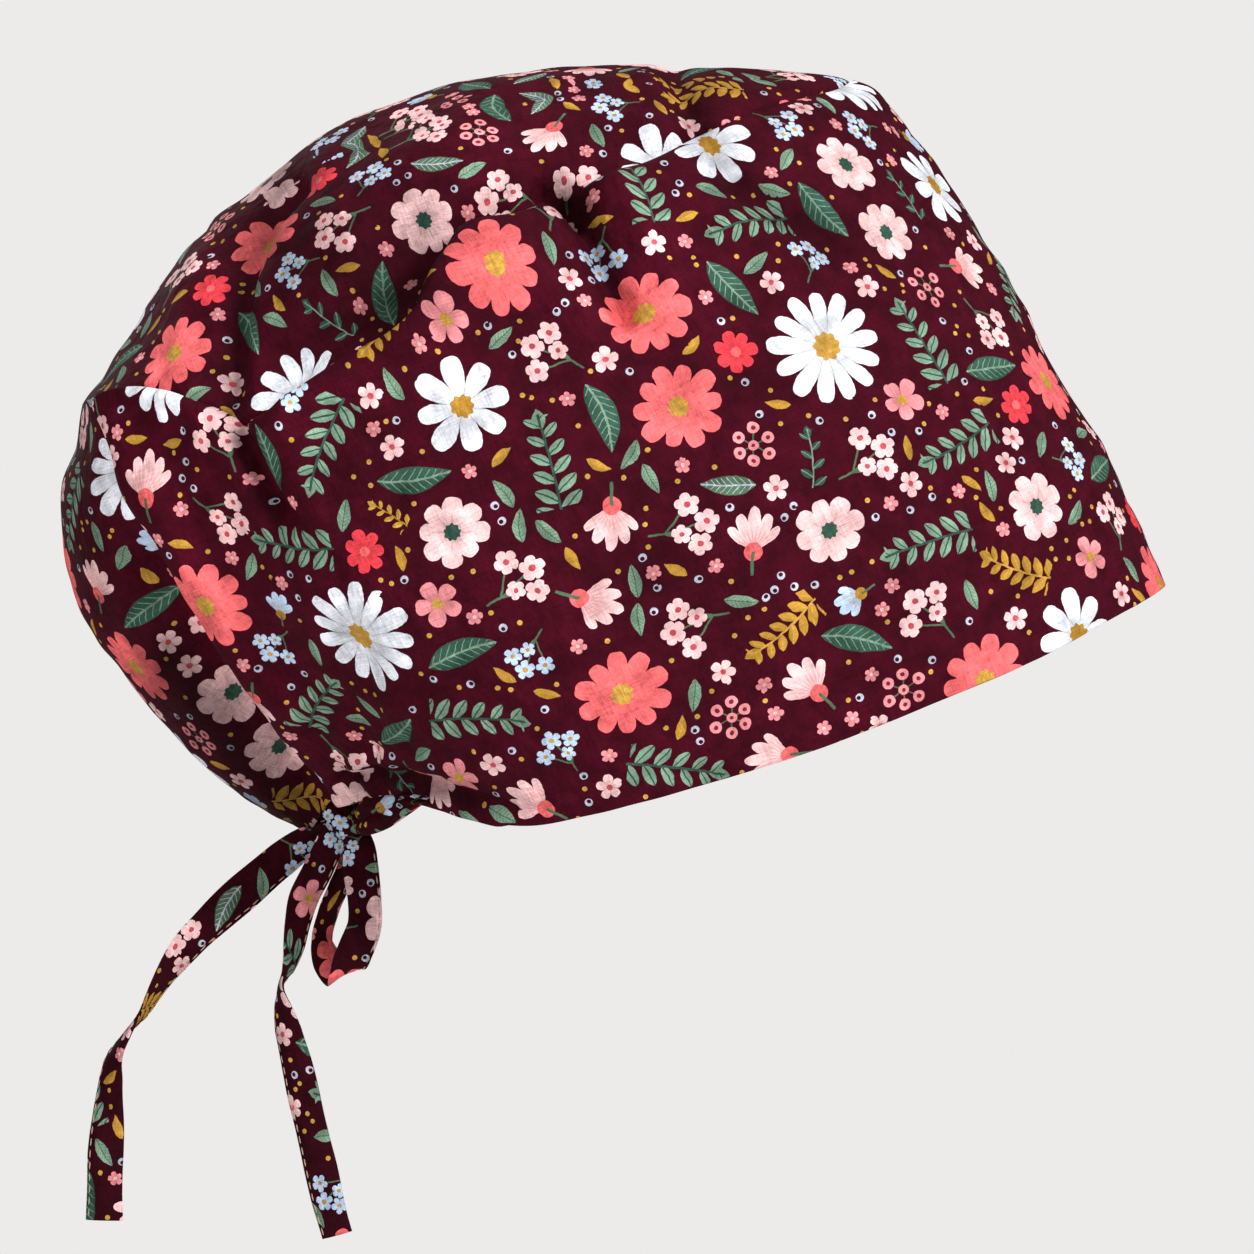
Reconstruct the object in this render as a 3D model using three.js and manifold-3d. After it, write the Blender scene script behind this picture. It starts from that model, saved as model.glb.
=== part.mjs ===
// A cloth scrub cap as it is worn, tied at the nape. Millimetres, X to the front, Y to the wearer's left,
// Z up, with the origin in the middle of the head opening.
import * as THREE from "three";
import { mergeVertices } from "three/addons/utils/BufferGeometryUtils.js";
import Module from "manifold-3d";

const wasm = await Module();
wasm.setup();

// Overall sizes of the worn cap.
const CAP_LENGTH = 296;
const CAP_HEIGHT = 208;
const CROWN_WIDTH = 178;
const OPENING_WIDTH = 157;

// Cloth, seams and how far the panels stand out between them.
const CLOTH_THICKNESS = 1.4;
const SEAM_GAP = 0.4;
const PANEL_FULLNESS = 9;
const FOLD_DEPTH = 8;
const FOLD_REACH = 12;

// The tie: a folded strap, its knot at the nape, and where it leaves the band.
const TIE_WIDTH = 10;
const TIE_THICKNESS = 1.8;
const KNOT_LENGTH = 15;
const KNOT_WIDTH = 17;
const KNOT_HEIGHT = 13;
const SEAT_GAP = 0.3;

// Steps of the meshes.
const BAND_STEPS = 36;
const RISE_STEPS = 12;
const ACROSS_STEPS = 9;
const STRAP_STEPS = 2;
const KNOT_SIDES = 16;
const KNOT_RINGS = 10;

// Right half of the hem, from the middle of the forehead back to the nape. x and z are shares of the cap's
// length and height, and y is a share of half the opening's width.
const HEM = [
  { x: 0.36, y: 0, z: 0.152 },
  { x: 0.351, y: -0.255, z: 0.147 },
  { x: 0.328, y: -0.446, z: 0.13 },
  { x: 0.289, y: -0.611, z: 0.102 },
  { x: 0.229, y: -0.764, z: 0.059 },
  { x: 0.14, y: -0.892, z: 0.005 },
  { x: 0.035, y: -0.968, z: -0.052 },
  { x: -0.068, y: -1, z: -0.098 },
  { x: -0.154, y: -0.99, z: -0.131 },
  { x: -0.214, y: -0.93, z: -0.148 },
  { x: -0.267, y: -0.803, z: -0.139 },
  { x: -0.311, y: -0.611, z: -0.121 },
  { x: -0.35, y: -0.42, z: -0.121 },
  { x: -0.394, y: -0.204, z: -0.131 },
];

// Right half of the seam between the band and the crown, from the front of the crown back to the corner
// over the pouch. y is a share of half the crown's width.
const CROWN_SEAM = [
  { x: 0.075, y: 0, z: 0.802 },
  { x: 0.06, y: -0.18, z: 0.783 },
  { x: 0.029, y: -0.326, z: 0.766 },
  { x: -0.02, y: -0.483, z: 0.74 },
  { x: -0.067, y: -0.596, z: 0.706 },
  { x: -0.106, y: -0.674, z: 0.675 },
  { x: -0.154, y: -0.73, z: 0.646 },
  { x: -0.189, y: -0.764, z: 0.626 },
  { x: -0.232, y: -0.809, z: 0.595 },
  { x: -0.272, y: -0.831, z: 0.583 },
  { x: -0.291, y: -0.888, z: 0.53 },
  { x: -0.313, y: -0.933, z: 0.463 },
  { x: -0.368, y: -0.944, z: 0.419 },
  { x: -0.416, y: -0.921, z: 0.378 },
  { x: -0.449, y: -0.876, z: 0.352 },
  { x: -0.494, y: -0.798, z: 0.368 },
  { x: -0.536, y: -0.708, z: 0.387 },
  { x: -0.573, y: -0.629, z: 0.392 },
  { x: -0.605, y: -0.551, z: 0.382 },
];

// Right half of the seam from that corner down to the nape, where the band ends.
const NAPE_SEAM = [
  { x: -0.605, y: -0.551, z: 0.382 },
  { x: -0.588, y: -0.584, z: 0.333 },
  { x: -0.571, y: -0.596, z: 0.262 },
  { x: -0.54, y: -0.584, z: 0.198 },
  { x: -0.513, y: -0.551, z: 0.127 },
  { x: -0.486, y: -0.494, z: 0.071 },
  { x: -0.46, y: -0.427, z: 0.014 },
  { x: -0.433, y: -0.337, z: -0.049 },
  { x: -0.407, y: -0.247, z: -0.094 },
  { x: -0.394, y: -0.18, z: -0.131 },
];

// Middle line of the band's front, from the hem up to the crown.
const FRONT_LINE = [
  { x: 0.36, y: 0, z: 0.152 },
  { x: 0.325, y: 0, z: 0.26 },
  { x: 0.275, y: 0, z: 0.389 },
  { x: 0.226, y: 0, z: 0.519 },
  { x: 0.174, y: 0, z: 0.649 },
  { x: 0.134, y: 0, z: 0.727 },
  { x: 0.106, y: 0, z: 0.779 },
  { x: 0.075, y: 0, z: 0.802 },
];

// Middle line of the crown piece, over the head and down the pouch to its lip at the nape.
const CREST = [
  { x: 0.075, y: 0, z: 0.802 },
  { x: 0, y: 0, z: 0.815 },
  { x: -0.082, y: 0, z: 0.82 },
  { x: -0.155, y: 0, z: 0.822 },
  { x: -0.219, y: 0, z: 0.815 },
  { x: -0.274, y: 0, z: 0.805 },
  { x: -0.338, y: 0, z: 0.775 },
  { x: -0.406, y: 0, z: 0.731 },
  { x: -0.483, y: 0, z: 0.646 },
  { x: -0.538, y: 0, z: 0.561 },
  { x: -0.593, y: 0, z: 0.449 },
  { x: -0.626, y: 0, z: 0.386 },
  { x: -0.639, y: 0, z: 0.305 },
  { x: -0.642, y: 0, z: 0.221 },
  { x: -0.631, y: 0, z: 0.143 },
  { x: -0.604, y: 0, z: 0.065 },
  { x: -0.561, y: 0, z: -0.013 },
  { x: -0.509, y: 0, z: -0.091 },
  { x: -0.462, y: 0, z: -0.143 },
  { x: -0.426, y: 0, z: -0.179 },
];

// How full the band stands between its hem and its seam, from the front to the back, as shares of
// PANEL_FULLNESS.
const BAND_FULLNESS = [
  { along: 0, full: 0 },
  { along: 0.15, full: 0.5 },
  { along: 0.3, full: 1 },
  { along: 0.45, full: 1 },
  { along: 0.6, full: 0.45 },
  { along: 0.75, full: 0 },
  { along: 0.88, full: -0.1 },
  { along: 1, full: 0 },
];

// Sections of the crown piece: where each meets the side seam, where it crosses the crest, and how far
// round it bends, in degrees.
const CROWN_SECTIONS = [
  { seam: 0, crest: 0, round: 60 },
  { seam: 0.082, crest: 0.028, round: 60 },
  { seam: 0.133, crest: 0.062, round: 61 },
  { seam: 0.214, crest: 0.123, round: 63 },
  { seam: 0.282, crest: 0.191, round: 65 },
  { seam: 0.348, crest: 0.258, round: 66 },
  { seam: 0.421, crest: 0.326, round: 65 },
  { seam: 0.507, crest: 0.43, round: 62 },
  { seam: 0.576, crest: 0.532, round: 60 },
  { seam: 0.644, crest: 0.602, round: 60 },
  { seam: 0.674, crest: 0.632, round: 62 },
  { seam: 0.742, crest: 0.698, round: 70 },
  { seam: 0.822, crest: 0.776, round: 76 },
  { seam: 0.896, crest: 0.855, round: 78 },
  { seam: 0.974, crest: 0.955, round: 74 },
  { seam: 1, crest: 1, round: 70 },
];

// Folds, gathers and dents, each along a line on the cloth and alike on both sides. Lengths are shares of
// the cap's sizes, depth and reach are shares of FOLD_DEPTH and FOLD_REACH, and a ridge has a plus sign.
const FOLDS = [
  { name: "front gather", from: [-0.086, -0.54, 0.73], to: [-0.106, -0.66, 0.69], depth: -0.5, reach: 0.6 },
  { name: "side dent", from: [-0.185, -0.76, 0.635], to: [-0.2, -0.775, 0.62], depth: -1, reach: 0.85 },
  { name: "dent's tail", from: [-0.185, -0.76, 0.63], to: [-0.11, -0.67, 0.68], depth: -0.35, reach: 0.7 },
  { name: "tucked crown", from: [-0.28, -0.82, 0.6], to: [-0.322, -0.91, 0.48], depth: -0.7, reach: 0.75 },
  { name: "rolled band", from: [-0.245, -0.85, 0.56], to: [-0.298, -0.96, 0.44], depth: 0.4, reach: 0.8 },
  { name: "rolled band", from: [-0.298, -0.96, 0.44], to: [-0.4, -0.95, 0.34], depth: 0.4, reach: 0.8 },
  { name: "tucked crown", from: [-0.335, -0.92, 0.47], to: [-0.425, -0.89, 0.41], depth: -0.5, reach: 0.7 },
  { name: "pleat", from: [-0.452, -0.87, 0.35], to: [-0.43, -0.93, 0.25], depth: -0.8, reach: 0.85 },
  { name: "pleat's run", from: [-0.455, -0.84, 0.4], to: [-0.44, -0.68, 0.56], depth: -0.5, reach: 1 },
  { name: "pleat's run", from: [-0.44, -0.68, 0.56], to: [-0.4, -0.4, 0.68], depth: -0.25, reach: 1.1 },
  { name: "crown swell", from: [-0.5, -0.66, 0.45], to: [-0.49, -0.5, 0.58], depth: 0.25, reach: 1.2 },
  { name: "corner ridge", from: [-0.51, -0.77, 0.37], to: [-0.6, -0.57, 0.375], depth: 0.25, reach: 0.7 },
  { name: "nape gather", from: [-0.33, -0.5, -0.085], to: [-0.25, -0.82, -0.09], depth: -0.55, reach: 0.6 },
  { name: "nape gather", from: [-0.38, -0.33, -0.06], to: [-0.37, -0.6, 0.06], depth: -0.35, reach: 0.7 },
];

// The knot's middle, as shares of the cap's length and height, and the slanting groove round it.
const KNOT_PLACE = { x: -0.387, y: 0, z: -0.152 };
const KNOT_GROOVE = 1.2;
const KNOT_GROOVE_WIDTH = 3;
const KNOT_SLANT = 0.6;

// Section of the folded strap, as shares of half its width and half its thickness.
const STRAP_SECTION = [
  { side: 1, face: -0.4 },
  { side: 1, face: 0.4 },
  { side: 0.88, face: 1 },
  { side: -0.88, face: 1 },
  { side: -1, face: 0.4 },
  { side: -1, face: -0.4 },
  { side: -0.88, face: -1 },
  { side: 0.88, face: -1 },
];

// The strap's ends and its loop, each as the points that it runs through, in millimetres from the knot's
// middle. turn and tilt are the angles of its width, round from the front and up from level, and wide is
// a share of TIE_WIDTH.
const REAR_END_ROUTE = [
  { x: 0, y: 0.5, z: -1.5, turn: 80, tilt: 0, wide: 0.55 },
  { x: -4.5, y: 1, z: -6.5, turn: 75, tilt: 0, wide: 0.6 },
  { x: -9.5, y: 0, z: -10.8, turn: 60, tilt: 0, wide: 0.75 },
  { x: -16, y: -2, z: -14.5, turn: 35, tilt: 0, wide: 0.9 },
  { x: -26.5, y: -4, z: -19.8, turn: 12, tilt: 0, wide: 0.92 },
  { x: -34.5, y: -4, z: -26.3, turn: 8, tilt: 0, wide: 0.9 },
  { x: -42.1, y: -4, z: -33.8, turn: 20, tilt: 0, wide: 0.85 },
  { x: -47.2, y: -4, z: -40.5, turn: 38, tilt: 0, wide: 0.8 },
  { x: -51.5, y: -3, z: -47.3, turn: 58, tilt: 0, wide: 0.75 },
  { x: -54.9, y: -3, z: -53.5, turn: 78, tilt: 0, wide: 0.7 },
  { x: -58.6, y: -3, z: -58.5, turn: 105, tilt: 0, wide: 0.7 },
  { x: -62, y: -3, z: -64.4, turn: 128, tilt: 0, wide: 0.75 },
  { x: -63.2, y: -3, z: -70.5, turn: 145, tilt: 0, wide: 0.8 },
  { x: -64, y: -3, z: -79.4, turn: 160, tilt: 0, wide: 0.88 },
  { x: -64.6, y: -3, z: -90.5, turn: 172, tilt: 0, wide: 0.96 },
  { x: -64.9, y: -3, z: -108.5, turn: 176, tilt: 0, wide: 1 },
];
const FRONT_END_ROUTE = [
  { x: -1, y: -3, z: -1.5, turn: 10, tilt: 0, wide: 0.55 },
  { x: -3.5, y: -6, z: -7.5, turn: 10, tilt: 0, wide: 0.75 },
  { x: -7, y: -7, z: -13.6, turn: 12, tilt: 0, wide: 0.8 },
  { x: -10.8, y: -7, z: -21.1, turn: 15, tilt: 0, wide: 0.75 },
  { x: -12.6, y: -7, z: -27.8, turn: 20, tilt: 0, wide: 0.7 },
  { x: -13.8, y: -7, z: -34.5, turn: 38, tilt: 0, wide: 0.7 },
  { x: -15.2, y: -7, z: -40.5, turn: 65, tilt: 0, wide: 0.65 },
  { x: -16.9, y: -7, z: -45, turn: 92, tilt: 0, wide: 0.65 },
  { x: -16.7, y: -7, z: -50.2, turn: 125, tilt: 0, wide: 0.75 },
  { x: -15.2, y: -7, z: -57, turn: 155, tilt: 0, wide: 0.82 },
  { x: -12.9, y: -7, z: -66, turn: 165, tilt: 0, wide: 0.88 },
  { x: -10.7, y: -7, z: -75.7, turn: 170, tilt: 0, wide: 0.88 },
  { x: -8.4, y: -7, z: -85.4, turn: 172, tilt: 0, wide: 0.9 },
  { x: -6.2, y: -7, z: -95.1, turn: 172, tilt: 0, wide: 0.88 },
  { x: -4.2, y: -7, z: -104, turn: 172, tilt: 0, wide: 0.85 },
  { x: -1.9, y: -7, z: -112, turn: 172, tilt: 0, wide: 0.85 },
];
const LOOP_ROUTE = [
  { x: 1, y: -3, z: -1, turn: 15, tilt: 0, wide: 0.5 },
  { x: 4.3, y: -8, z: -7.5, turn: 18, tilt: 0, wide: 0.65 },
  { x: 5.2, y: -10, z: -14, turn: 18, tilt: 0, wide: 0.75 },
  { x: 6.4, y: -11, z: -21.8, turn: 15, tilt: 3, wide: 0.76 },
  { x: 5.8, y: -11.5, z: -28.5, turn: 12, tilt: 8, wide: 0.85 },
  { x: 3, y: -11.5, z: -35.5, turn: 8, tilt: 17, wide: 0.97 },
  { x: 0.8, y: -10, z: -40, turn: 5, tilt: 24, wide: 1.05 },
  { x: -0.9, y: -6.5, z: -41.8, turn: 5, tilt: 26, wide: 1.05 },
  { x: -3, y: -3, z: -38.8, turn: 5, tilt: 24, wide: 0.95 },
  { x: -4.3, y: -1.8, z: -33.3, turn: 10, tilt: 20, wide: 0.75 },
  { x: -1.7, y: -1.5, z: -25.7, turn: 20, tilt: 12, wide: 0.62 },
  { x: 0.8, y: -1, z: -18.2, turn: 30, tilt: 5, wide: 0.55 },
  { x: 2, y: -1, z: -10, turn: 30, tilt: 0, wide: 0.5 },
  { x: 2, y: -0.5, z: -3.5, turn: 30, tilt: 0, wide: 0.4 },
];

// The strap beside the nape: how far along the hem each of its points hangs below it.
const NAPE_STRAP = [
  { along: 0.862, wide: 0.42 },
  { along: 0.885, wide: 0.6 },
  { along: 0.915, wide: 0.78 },
  { along: 0.948, wide: 0.85 },
];

// Colours of the cloth and of the strap.
const CLOTH_COLOUR = "#4a1526";
const CLOTH_ROUGHNESS = 0.85;

function clothMaterial() {
  return new THREE.MeshStandardMaterial({
    color: CLOTH_COLOUR,
    roughness: CLOTH_ROUGHNESS,
    metalness: 0,
    side: THREE.DoubleSide,
  });
}

// A point of the cap from its shares of length, half width and height.
function place(share, width = CROWN_WIDTH) {
  return new THREE.Vector3(share.x * CAP_LENGTH, (share.y * width) / 2, share.z * CAP_HEIGHT);
}

function mirrored(point) {
  return new THREE.Vector3(point.x, -point.y, point.z);
}

function smoothCurve(points) {
  return new THREE.CatmullRomCurve3(points, false, "centripetal");
}

// A curve through a table's points, right side only.
function sideCurve(table, width) {
  return smoothCurve(table.map((row) => place(row, width)));
}

// A curve through a table's points and their mirror images, so that it crosses the middle smoothly.
function wholeCurve(table, width) {
  const right = table.map((row) => place(row, width));
  const left = right.slice(1).reverse().map(mirrored);
  return smoothCurve([...left, ...right]);
}

function smoothStep(t) {
  return t * t * (3 - 2 * t);
}

// The value of a table's column at a given place along it, on a smooth line through its rows.
function lookUp(table, key, column, at) {
  const keys = table.map((row) => row[key]);
  const values = table.map((row) => row[column]);
  return new THREE.CubicInterpolant(keys, values, 1).evaluate(at)[0];
}

const hemCurve = wholeCurve(HEM, OPENING_WIDTH);
const crownSeamCurve = wholeCurve(CROWN_SEAM);
const napeSeamCurve = sideCurve(NAPE_SEAM);
const frontCurve = sideCurve(FRONT_LINE);
const crestCurve = sideCurve(CREST);

function between(a, b, t) {
  return new THREE.Vector3().lerpVectors(a, b, t);
}

// How far a boundary line departs from the straight line between its ends.
function departure(curve, t) {
  return curve.getPointAt(t).sub(between(curve.getPointAt(0), curve.getPointAt(1), t));
}

// The band's middle surface: along runs from the front's middle, 0, to its end at the nape, 1, on the
// right side, and rise from the hem, 0, to the crown seam, 1.
function bandPoint(along, rise) {
  const low = hemCurve.getPointAt(0.5 + along / 2);
  const high = crownSeamCurve.getPointAt(0.5 + along / 2);
  const point = between(low, high, rise);
  const towardsNape = smoothStep(along);
  point.addScaledVector(departure(frontCurve, rise), 1 - towardsNape);
  const napeEdge = departure(napeSeamCurve, 1 - rise);
  point.addScaledVector(napeEdge, towardsNape);
  return point;
}

// The band puffed out between its hem and its seam.
function fullBandPoint(along, rise) {
  const point = bandPoint(along, rise);
  const step = 0.02;
  const a = bandPoint(Math.max(along - step, 0), rise);
  const b = bandPoint(Math.min(along + step, 1), rise);
  const low = hemCurve.getPointAt(0.5 + along / 2);
  const high = crownSeamCurve.getPointAt(0.5 + along / 2);
  const outward = new THREE.Vector3().crossVectors(high.sub(low), b.sub(a)).normalize();
  const full = lookUp(BAND_FULLNESS, "along", "full", along) * PANEL_FULLNESS;
  return point.addScaledVector(outward, full * 4 * rise * (1 - rise));
}

// The crown piece's surface: along runs from the front, 0, to the lip at the nape, 1, and out from the
// crest, 0, to the right side seam, 1.
function crownPoint(along, out, seamPoint) {
  const crest = crestCurve.getPointAt(lookUp(CROWN_SECTIONS, "seam", "crest", along));
  const round = THREE.MathUtils.degToRad(lookUp(CROWN_SECTIONS, "seam", "round", along));
  const angle = out * round;
  const drop = (1 - Math.cos(angle)) / (1 - Math.cos(round));
  const reach = Math.sin(angle) / Math.sin(round);
  const point = between(crest, seamPoint, drop);
  point.y = seamPoint.y * reach;
  return point;
}

// Right half of each panel as rows of points. The seam points are the same in both.
function bandRows() {
  const rows = [];
  for (let i = 0; i <= BAND_STEPS; i += 1) {
    const row = [];
    for (let j = 0; j <= RISE_STEPS; j += 1) row.push(fullBandPoint(i / BAND_STEPS, j / RISE_STEPS));
    rows.push(row);
  }
  return rows;
}

function crownRows(band) {
  const seamPoints = [
    ...band.map((row) => row[RISE_STEPS]),
    ...band[BAND_STEPS].slice(0, RISE_STEPS).reverse(),
  ];
  const lengths = [0];
  for (let i = 1; i < seamPoints.length; i += 1) {
    lengths.push(lengths[i - 1] + seamPoints[i].distanceTo(seamPoints[i - 1]));
  }
  const total = lengths[lengths.length - 1];
  return seamPoints.map((seamPoint, i) => {
    const row = [];
    for (let j = 0; j <= ACROSS_STEPS; j += 1) {
      const out = j / ACROSS_STEPS;
      row.push(out === 1 ? seamPoint.clone() : crownPoint(lengths[i] / total, out, seamPoint));
    }
    return row;
  });
}

// How far the folds push a point of the cloth in or out.
function foldShift(point) {
  const right = new THREE.Vector3(point.x, -Math.abs(point.y), point.z);
  let shift = 0;
  for (const fold of FOLDS) {
    const [from, to] = [fold.from, fold.to].map(([x, y, z]) => place({ x, y, z }));
    const nearest = new THREE.Line3(from, to).closestPointToPoint(right, true, new THREE.Vector3());
    const away = nearest.distanceTo(right) / (fold.reach * FOLD_REACH);
    shift += fold.depth * FOLD_DEPTH * Math.exp(-away * away);
  }
  return shift;
}

// A whole panel from its right half. The band's rows run round the head and the crown's run across it.
function wholeBand(rows) {
  return [...rows.slice(1).reverse(), ...rows.map((row) => row.map(mirrored))];
}

function wholeCrown(rows) {
  return rows.map((row) => [...row.slice(1).reverse().map(mirrored), ...row]);
}

function surfaceNormals(grid) {
  const last = grid.length - 1;
  const width = grid[0].length - 1;
  const difference = (a, b) => new THREE.Vector3().subVectors(a, b);
  const normals = grid.map((row, i) =>
    row.map((_, j) => {
      const along = difference(grid[Math.min(i + 1, last)][j], grid[Math.max(i - 1, 0)][j]);
      const across = difference(grid[i][Math.min(j + 1, width)], grid[i][Math.max(j - 1, 0)]);
      return along.cross(across).normalize();
    }),
  );
  return normals;
}

// The places along the seam, as the row and column of each panel that meet there.
function seamPairs() {
  const pairs = [];
  const steps = BAND_STEPS + RISE_STEPS;
  for (let i = 0; i <= steps; i += 1) {
    const column = Math.min(i, BAND_STEPS);
    const rise = RISE_STEPS - Math.max(i - BAND_STEPS, 0);
    pairs.push({ band: [BAND_STEPS - column, rise], crown: [i, 2 * ACROSS_STEPS] });
    if (i > 0) pairs.push({ band: [BAND_STEPS + column, rise], crown: [i, 0] });
  }
  return pairs;
}

// Both panels' normals, with one shared direction at each place along their seam.
function panelNormals(band, crown) {
  const bandNormals = surfaceNormals(band);
  const crownNormals = surfaceNormals(crown);
  crownNormals[0] = crownNormals[0].map(() => crownNormals[1][ACROSS_STEPS].clone());
  for (const pair of seamPairs()) {
    const [bi, bj] = pair.band;
    const [ci, cj] = pair.crown;
    const shared = bandNormals[bi][bj].clone().add(crownNormals[ci][cj]).normalize();
    bandNormals[bi][bj] = shared;
    crownNormals[ci][cj] = shared.clone();
    if (ci === 0) crownNormals[0] = crownNormals[0].map(() => shared.clone());
  }
  return { bandNormals, crownNormals };
}

function shifted(grid, normals, shift) {
  return grid.map((row, i) => row.map((p, j) => p.clone().addScaledVector(normals[i][j], shift(p))));
}

// Half of the seam's gap, taken off one panel's edge: straight away from the seam, towards the panel.
function pullBack(grid, i, j, seamLine, normal, inside) {
  const away = new THREE.Vector3().crossVectors(normal, seamLine).normalize();
  const inwards = new THREE.Vector3().subVectors(inside, grid[i][j]);
  if (away.dot(inwards) < 0) away.negate();
  grid[i][j].addScaledVector(away, SEAM_GAP / 2);
}

function openSeam(band, crown, bandNormals, crownNormals) {
  const whole = { band: band.map((row) => row.map((p) => p.clone())), crown: crown.map((row) => [...row]) };
  const steps = BAND_STEPS + RISE_STEPS;
  const tip = crown[0][0].clone();
  const backwards = new THREE.Vector3().subVectors(crown[1][ACROSS_STEPS], tip).setLength(SEAM_GAP);
  crown[0] = crown[0].map(() => tip.clone().add(backwards));
  for (const pair of seamPairs()) {
    const [bi, bj] = pair.band;
    const [ci, cj] = pair.crown;
    const before = whole.crown[Math.max(ci - 1, 0)][cj];
    const after = whole.crown[Math.min(ci + 1, steps)][cj];
    const seamLine = new THREE.Vector3().subVectors(after, before);
    const normal = bandNormals[bi][bj];
    const bandInside = whole.band[bi + Math.sign(BAND_STEPS - bi)][Math.max(bj - 1, 0)];
    if (ci === 0) {
      band[bi][bj].add(new THREE.Vector3().subVectors(band[bi][bj - 1], tip).setLength(SEAM_GAP / 2));
      continue;
    }
    pullBack(band, bi, bj, seamLine, normal, bandInside);
    const crownInside = whole.crown[ci][cj === 0 ? 1 : cj - 1];
    const point = crown[ci][cj].clone();
    crown[ci][cj] = point;
    pullBack(crown, ci, cj, seamLine, crownNormals[ci][cj], crownInside);
  }
}

function geometryFrom(points, triangles) {
  const geometry = new THREE.BufferGeometry();
  const numbers = points.flatMap((p) => p.toArray());
  geometry.setAttribute("position", new THREE.Float32BufferAttribute(numbers, 3));
  geometry.setIndex(triangles.flat());
  return geometry;
}

// A closed cloth wall between an outer grid of points and an inner one. Where a grid starts in one point,
// its first row is a fan.
function clothWall(outer, inner, pointedStart) {
  const points = [];
  const number = (grid) =>
    grid.map((row, i) =>
      row.map((p, j) => {
        if (!(pointedStart && i === 0 && j > 0)) points.push(p);
        return points.length - 1;
      }),
    );
  const a = number(outer);
  const b = number(inner);
  const triangles = [];
  const face = (p, q, r) => {
    if (p !== q && q !== r && r !== p) triangles.push([p, q, r]);
  };
  const quad = (p, q, r, s) => {
    face(p, q, r);
    face(p, r, s);
  };
  const last = a.length - 1;
  const width = a[0].length - 1;
  for (let i = 0; i < last; i += 1) {
    for (let j = 0; j < width; j += 1) {
      quad(a[i][j], a[i + 1][j], a[i + 1][j + 1], a[i][j + 1]);
      quad(b[i][j], b[i][j + 1], b[i + 1][j + 1], b[i + 1][j]);
    }
    quad(a[i][0], b[i][0], b[i + 1][0], a[i + 1][0]);
    quad(a[i][width], a[i + 1][width], b[i + 1][width], b[i][width]);
  }
  for (let j = 0; j < width; j += 1) {
    quad(a[0][j], a[0][j + 1], b[0][j + 1], b[0][j]);
    quad(a[last][j], b[last][j], b[last][j + 1], a[last][j + 1]);
  }
  return geometryFrom(points, triangles);
}

// Both panels, with their folds, the cloth's thickness and the gap along the seam between them.
function capPanels() {
  const rightBand = bandRows();
  const plainBand = wholeBand(rightBand);
  const plainCrown = wholeCrown(crownRows(rightBand));
  const plain = panelNormals(plainBand, plainCrown);
  const band = shifted(plainBand, plain.bandNormals, foldShift);
  const crown = shifted(plainCrown, plain.crownNormals, foldShift);
  const { bandNormals, crownNormals } = panelNormals(band, crown);
  const innerBand = shifted(band, bandNormals, () => -CLOTH_THICKNESS);
  const innerCrown = shifted(crown, crownNormals, () => -CLOTH_THICKNESS);
  openSeam(band, crown, bandNormals, crownNormals);
  openSeam(innerBand, innerCrown, bandNormals, crownNormals);
  return { band: clothWall(band, innerBand, false), crown: clothWall(crown, innerCrown, true) };
}

function toSolid(geometry) {
  const positions = new THREE.BufferGeometry();
  positions.setAttribute("position", geometry.getAttribute("position"));
  positions.setIndex(geometry.index);
  const merged = mergeVertices(positions, 1e-4);
  return new wasm.Manifold(
    new wasm.Mesh({
      numProp: 3,
      vertProperties: merged.attributes.position.array,
      triVerts: new Uint32Array(merged.index.array),
    }),
  );
}

function toGeometry(solid) {
  const mesh = solid.getMesh();
  const points = [];
  for (let i = 0; i < mesh.numVert; i += 1) {
    points.push(new THREE.Vector3().fromArray(mesh.vertProperties, i * mesh.numProp));
  }
  return geometryFrom(points, [...mesh.triVerts]);
}

// The knot: a round lump of strap with a slanting groove where its turns cross. room makes it larger all
// round.
function knotGeometry(room) {
  const geometry = new THREE.SphereGeometry(0.5, KNOT_SIDES, KNOT_RINGS);
  geometry.rotateX(Math.PI / 2);
  const position = geometry.getAttribute("position");
  const p = new THREE.Vector3();
  const centre = place(KNOT_PLACE);
  for (let i = 0; i < position.count; i += 1) {
    p.fromBufferAttribute(position, i);
    const out = p.clone().normalize();
    p.multiply(new THREE.Vector3(KNOT_LENGTH, KNOT_WIDTH, KNOT_HEIGHT));
    const fromGroove = (p.x - KNOT_SLANT * p.z) / KNOT_GROOVE_WIDTH;
    p.addScaledVector(out, room - KNOT_GROOVE * Math.exp(-fromGroove * fromGroove));
    position.setXYZ(i, p.x + centre.x, p.y + centre.y, p.z + centre.z);
  }
  return geometry;
}

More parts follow.
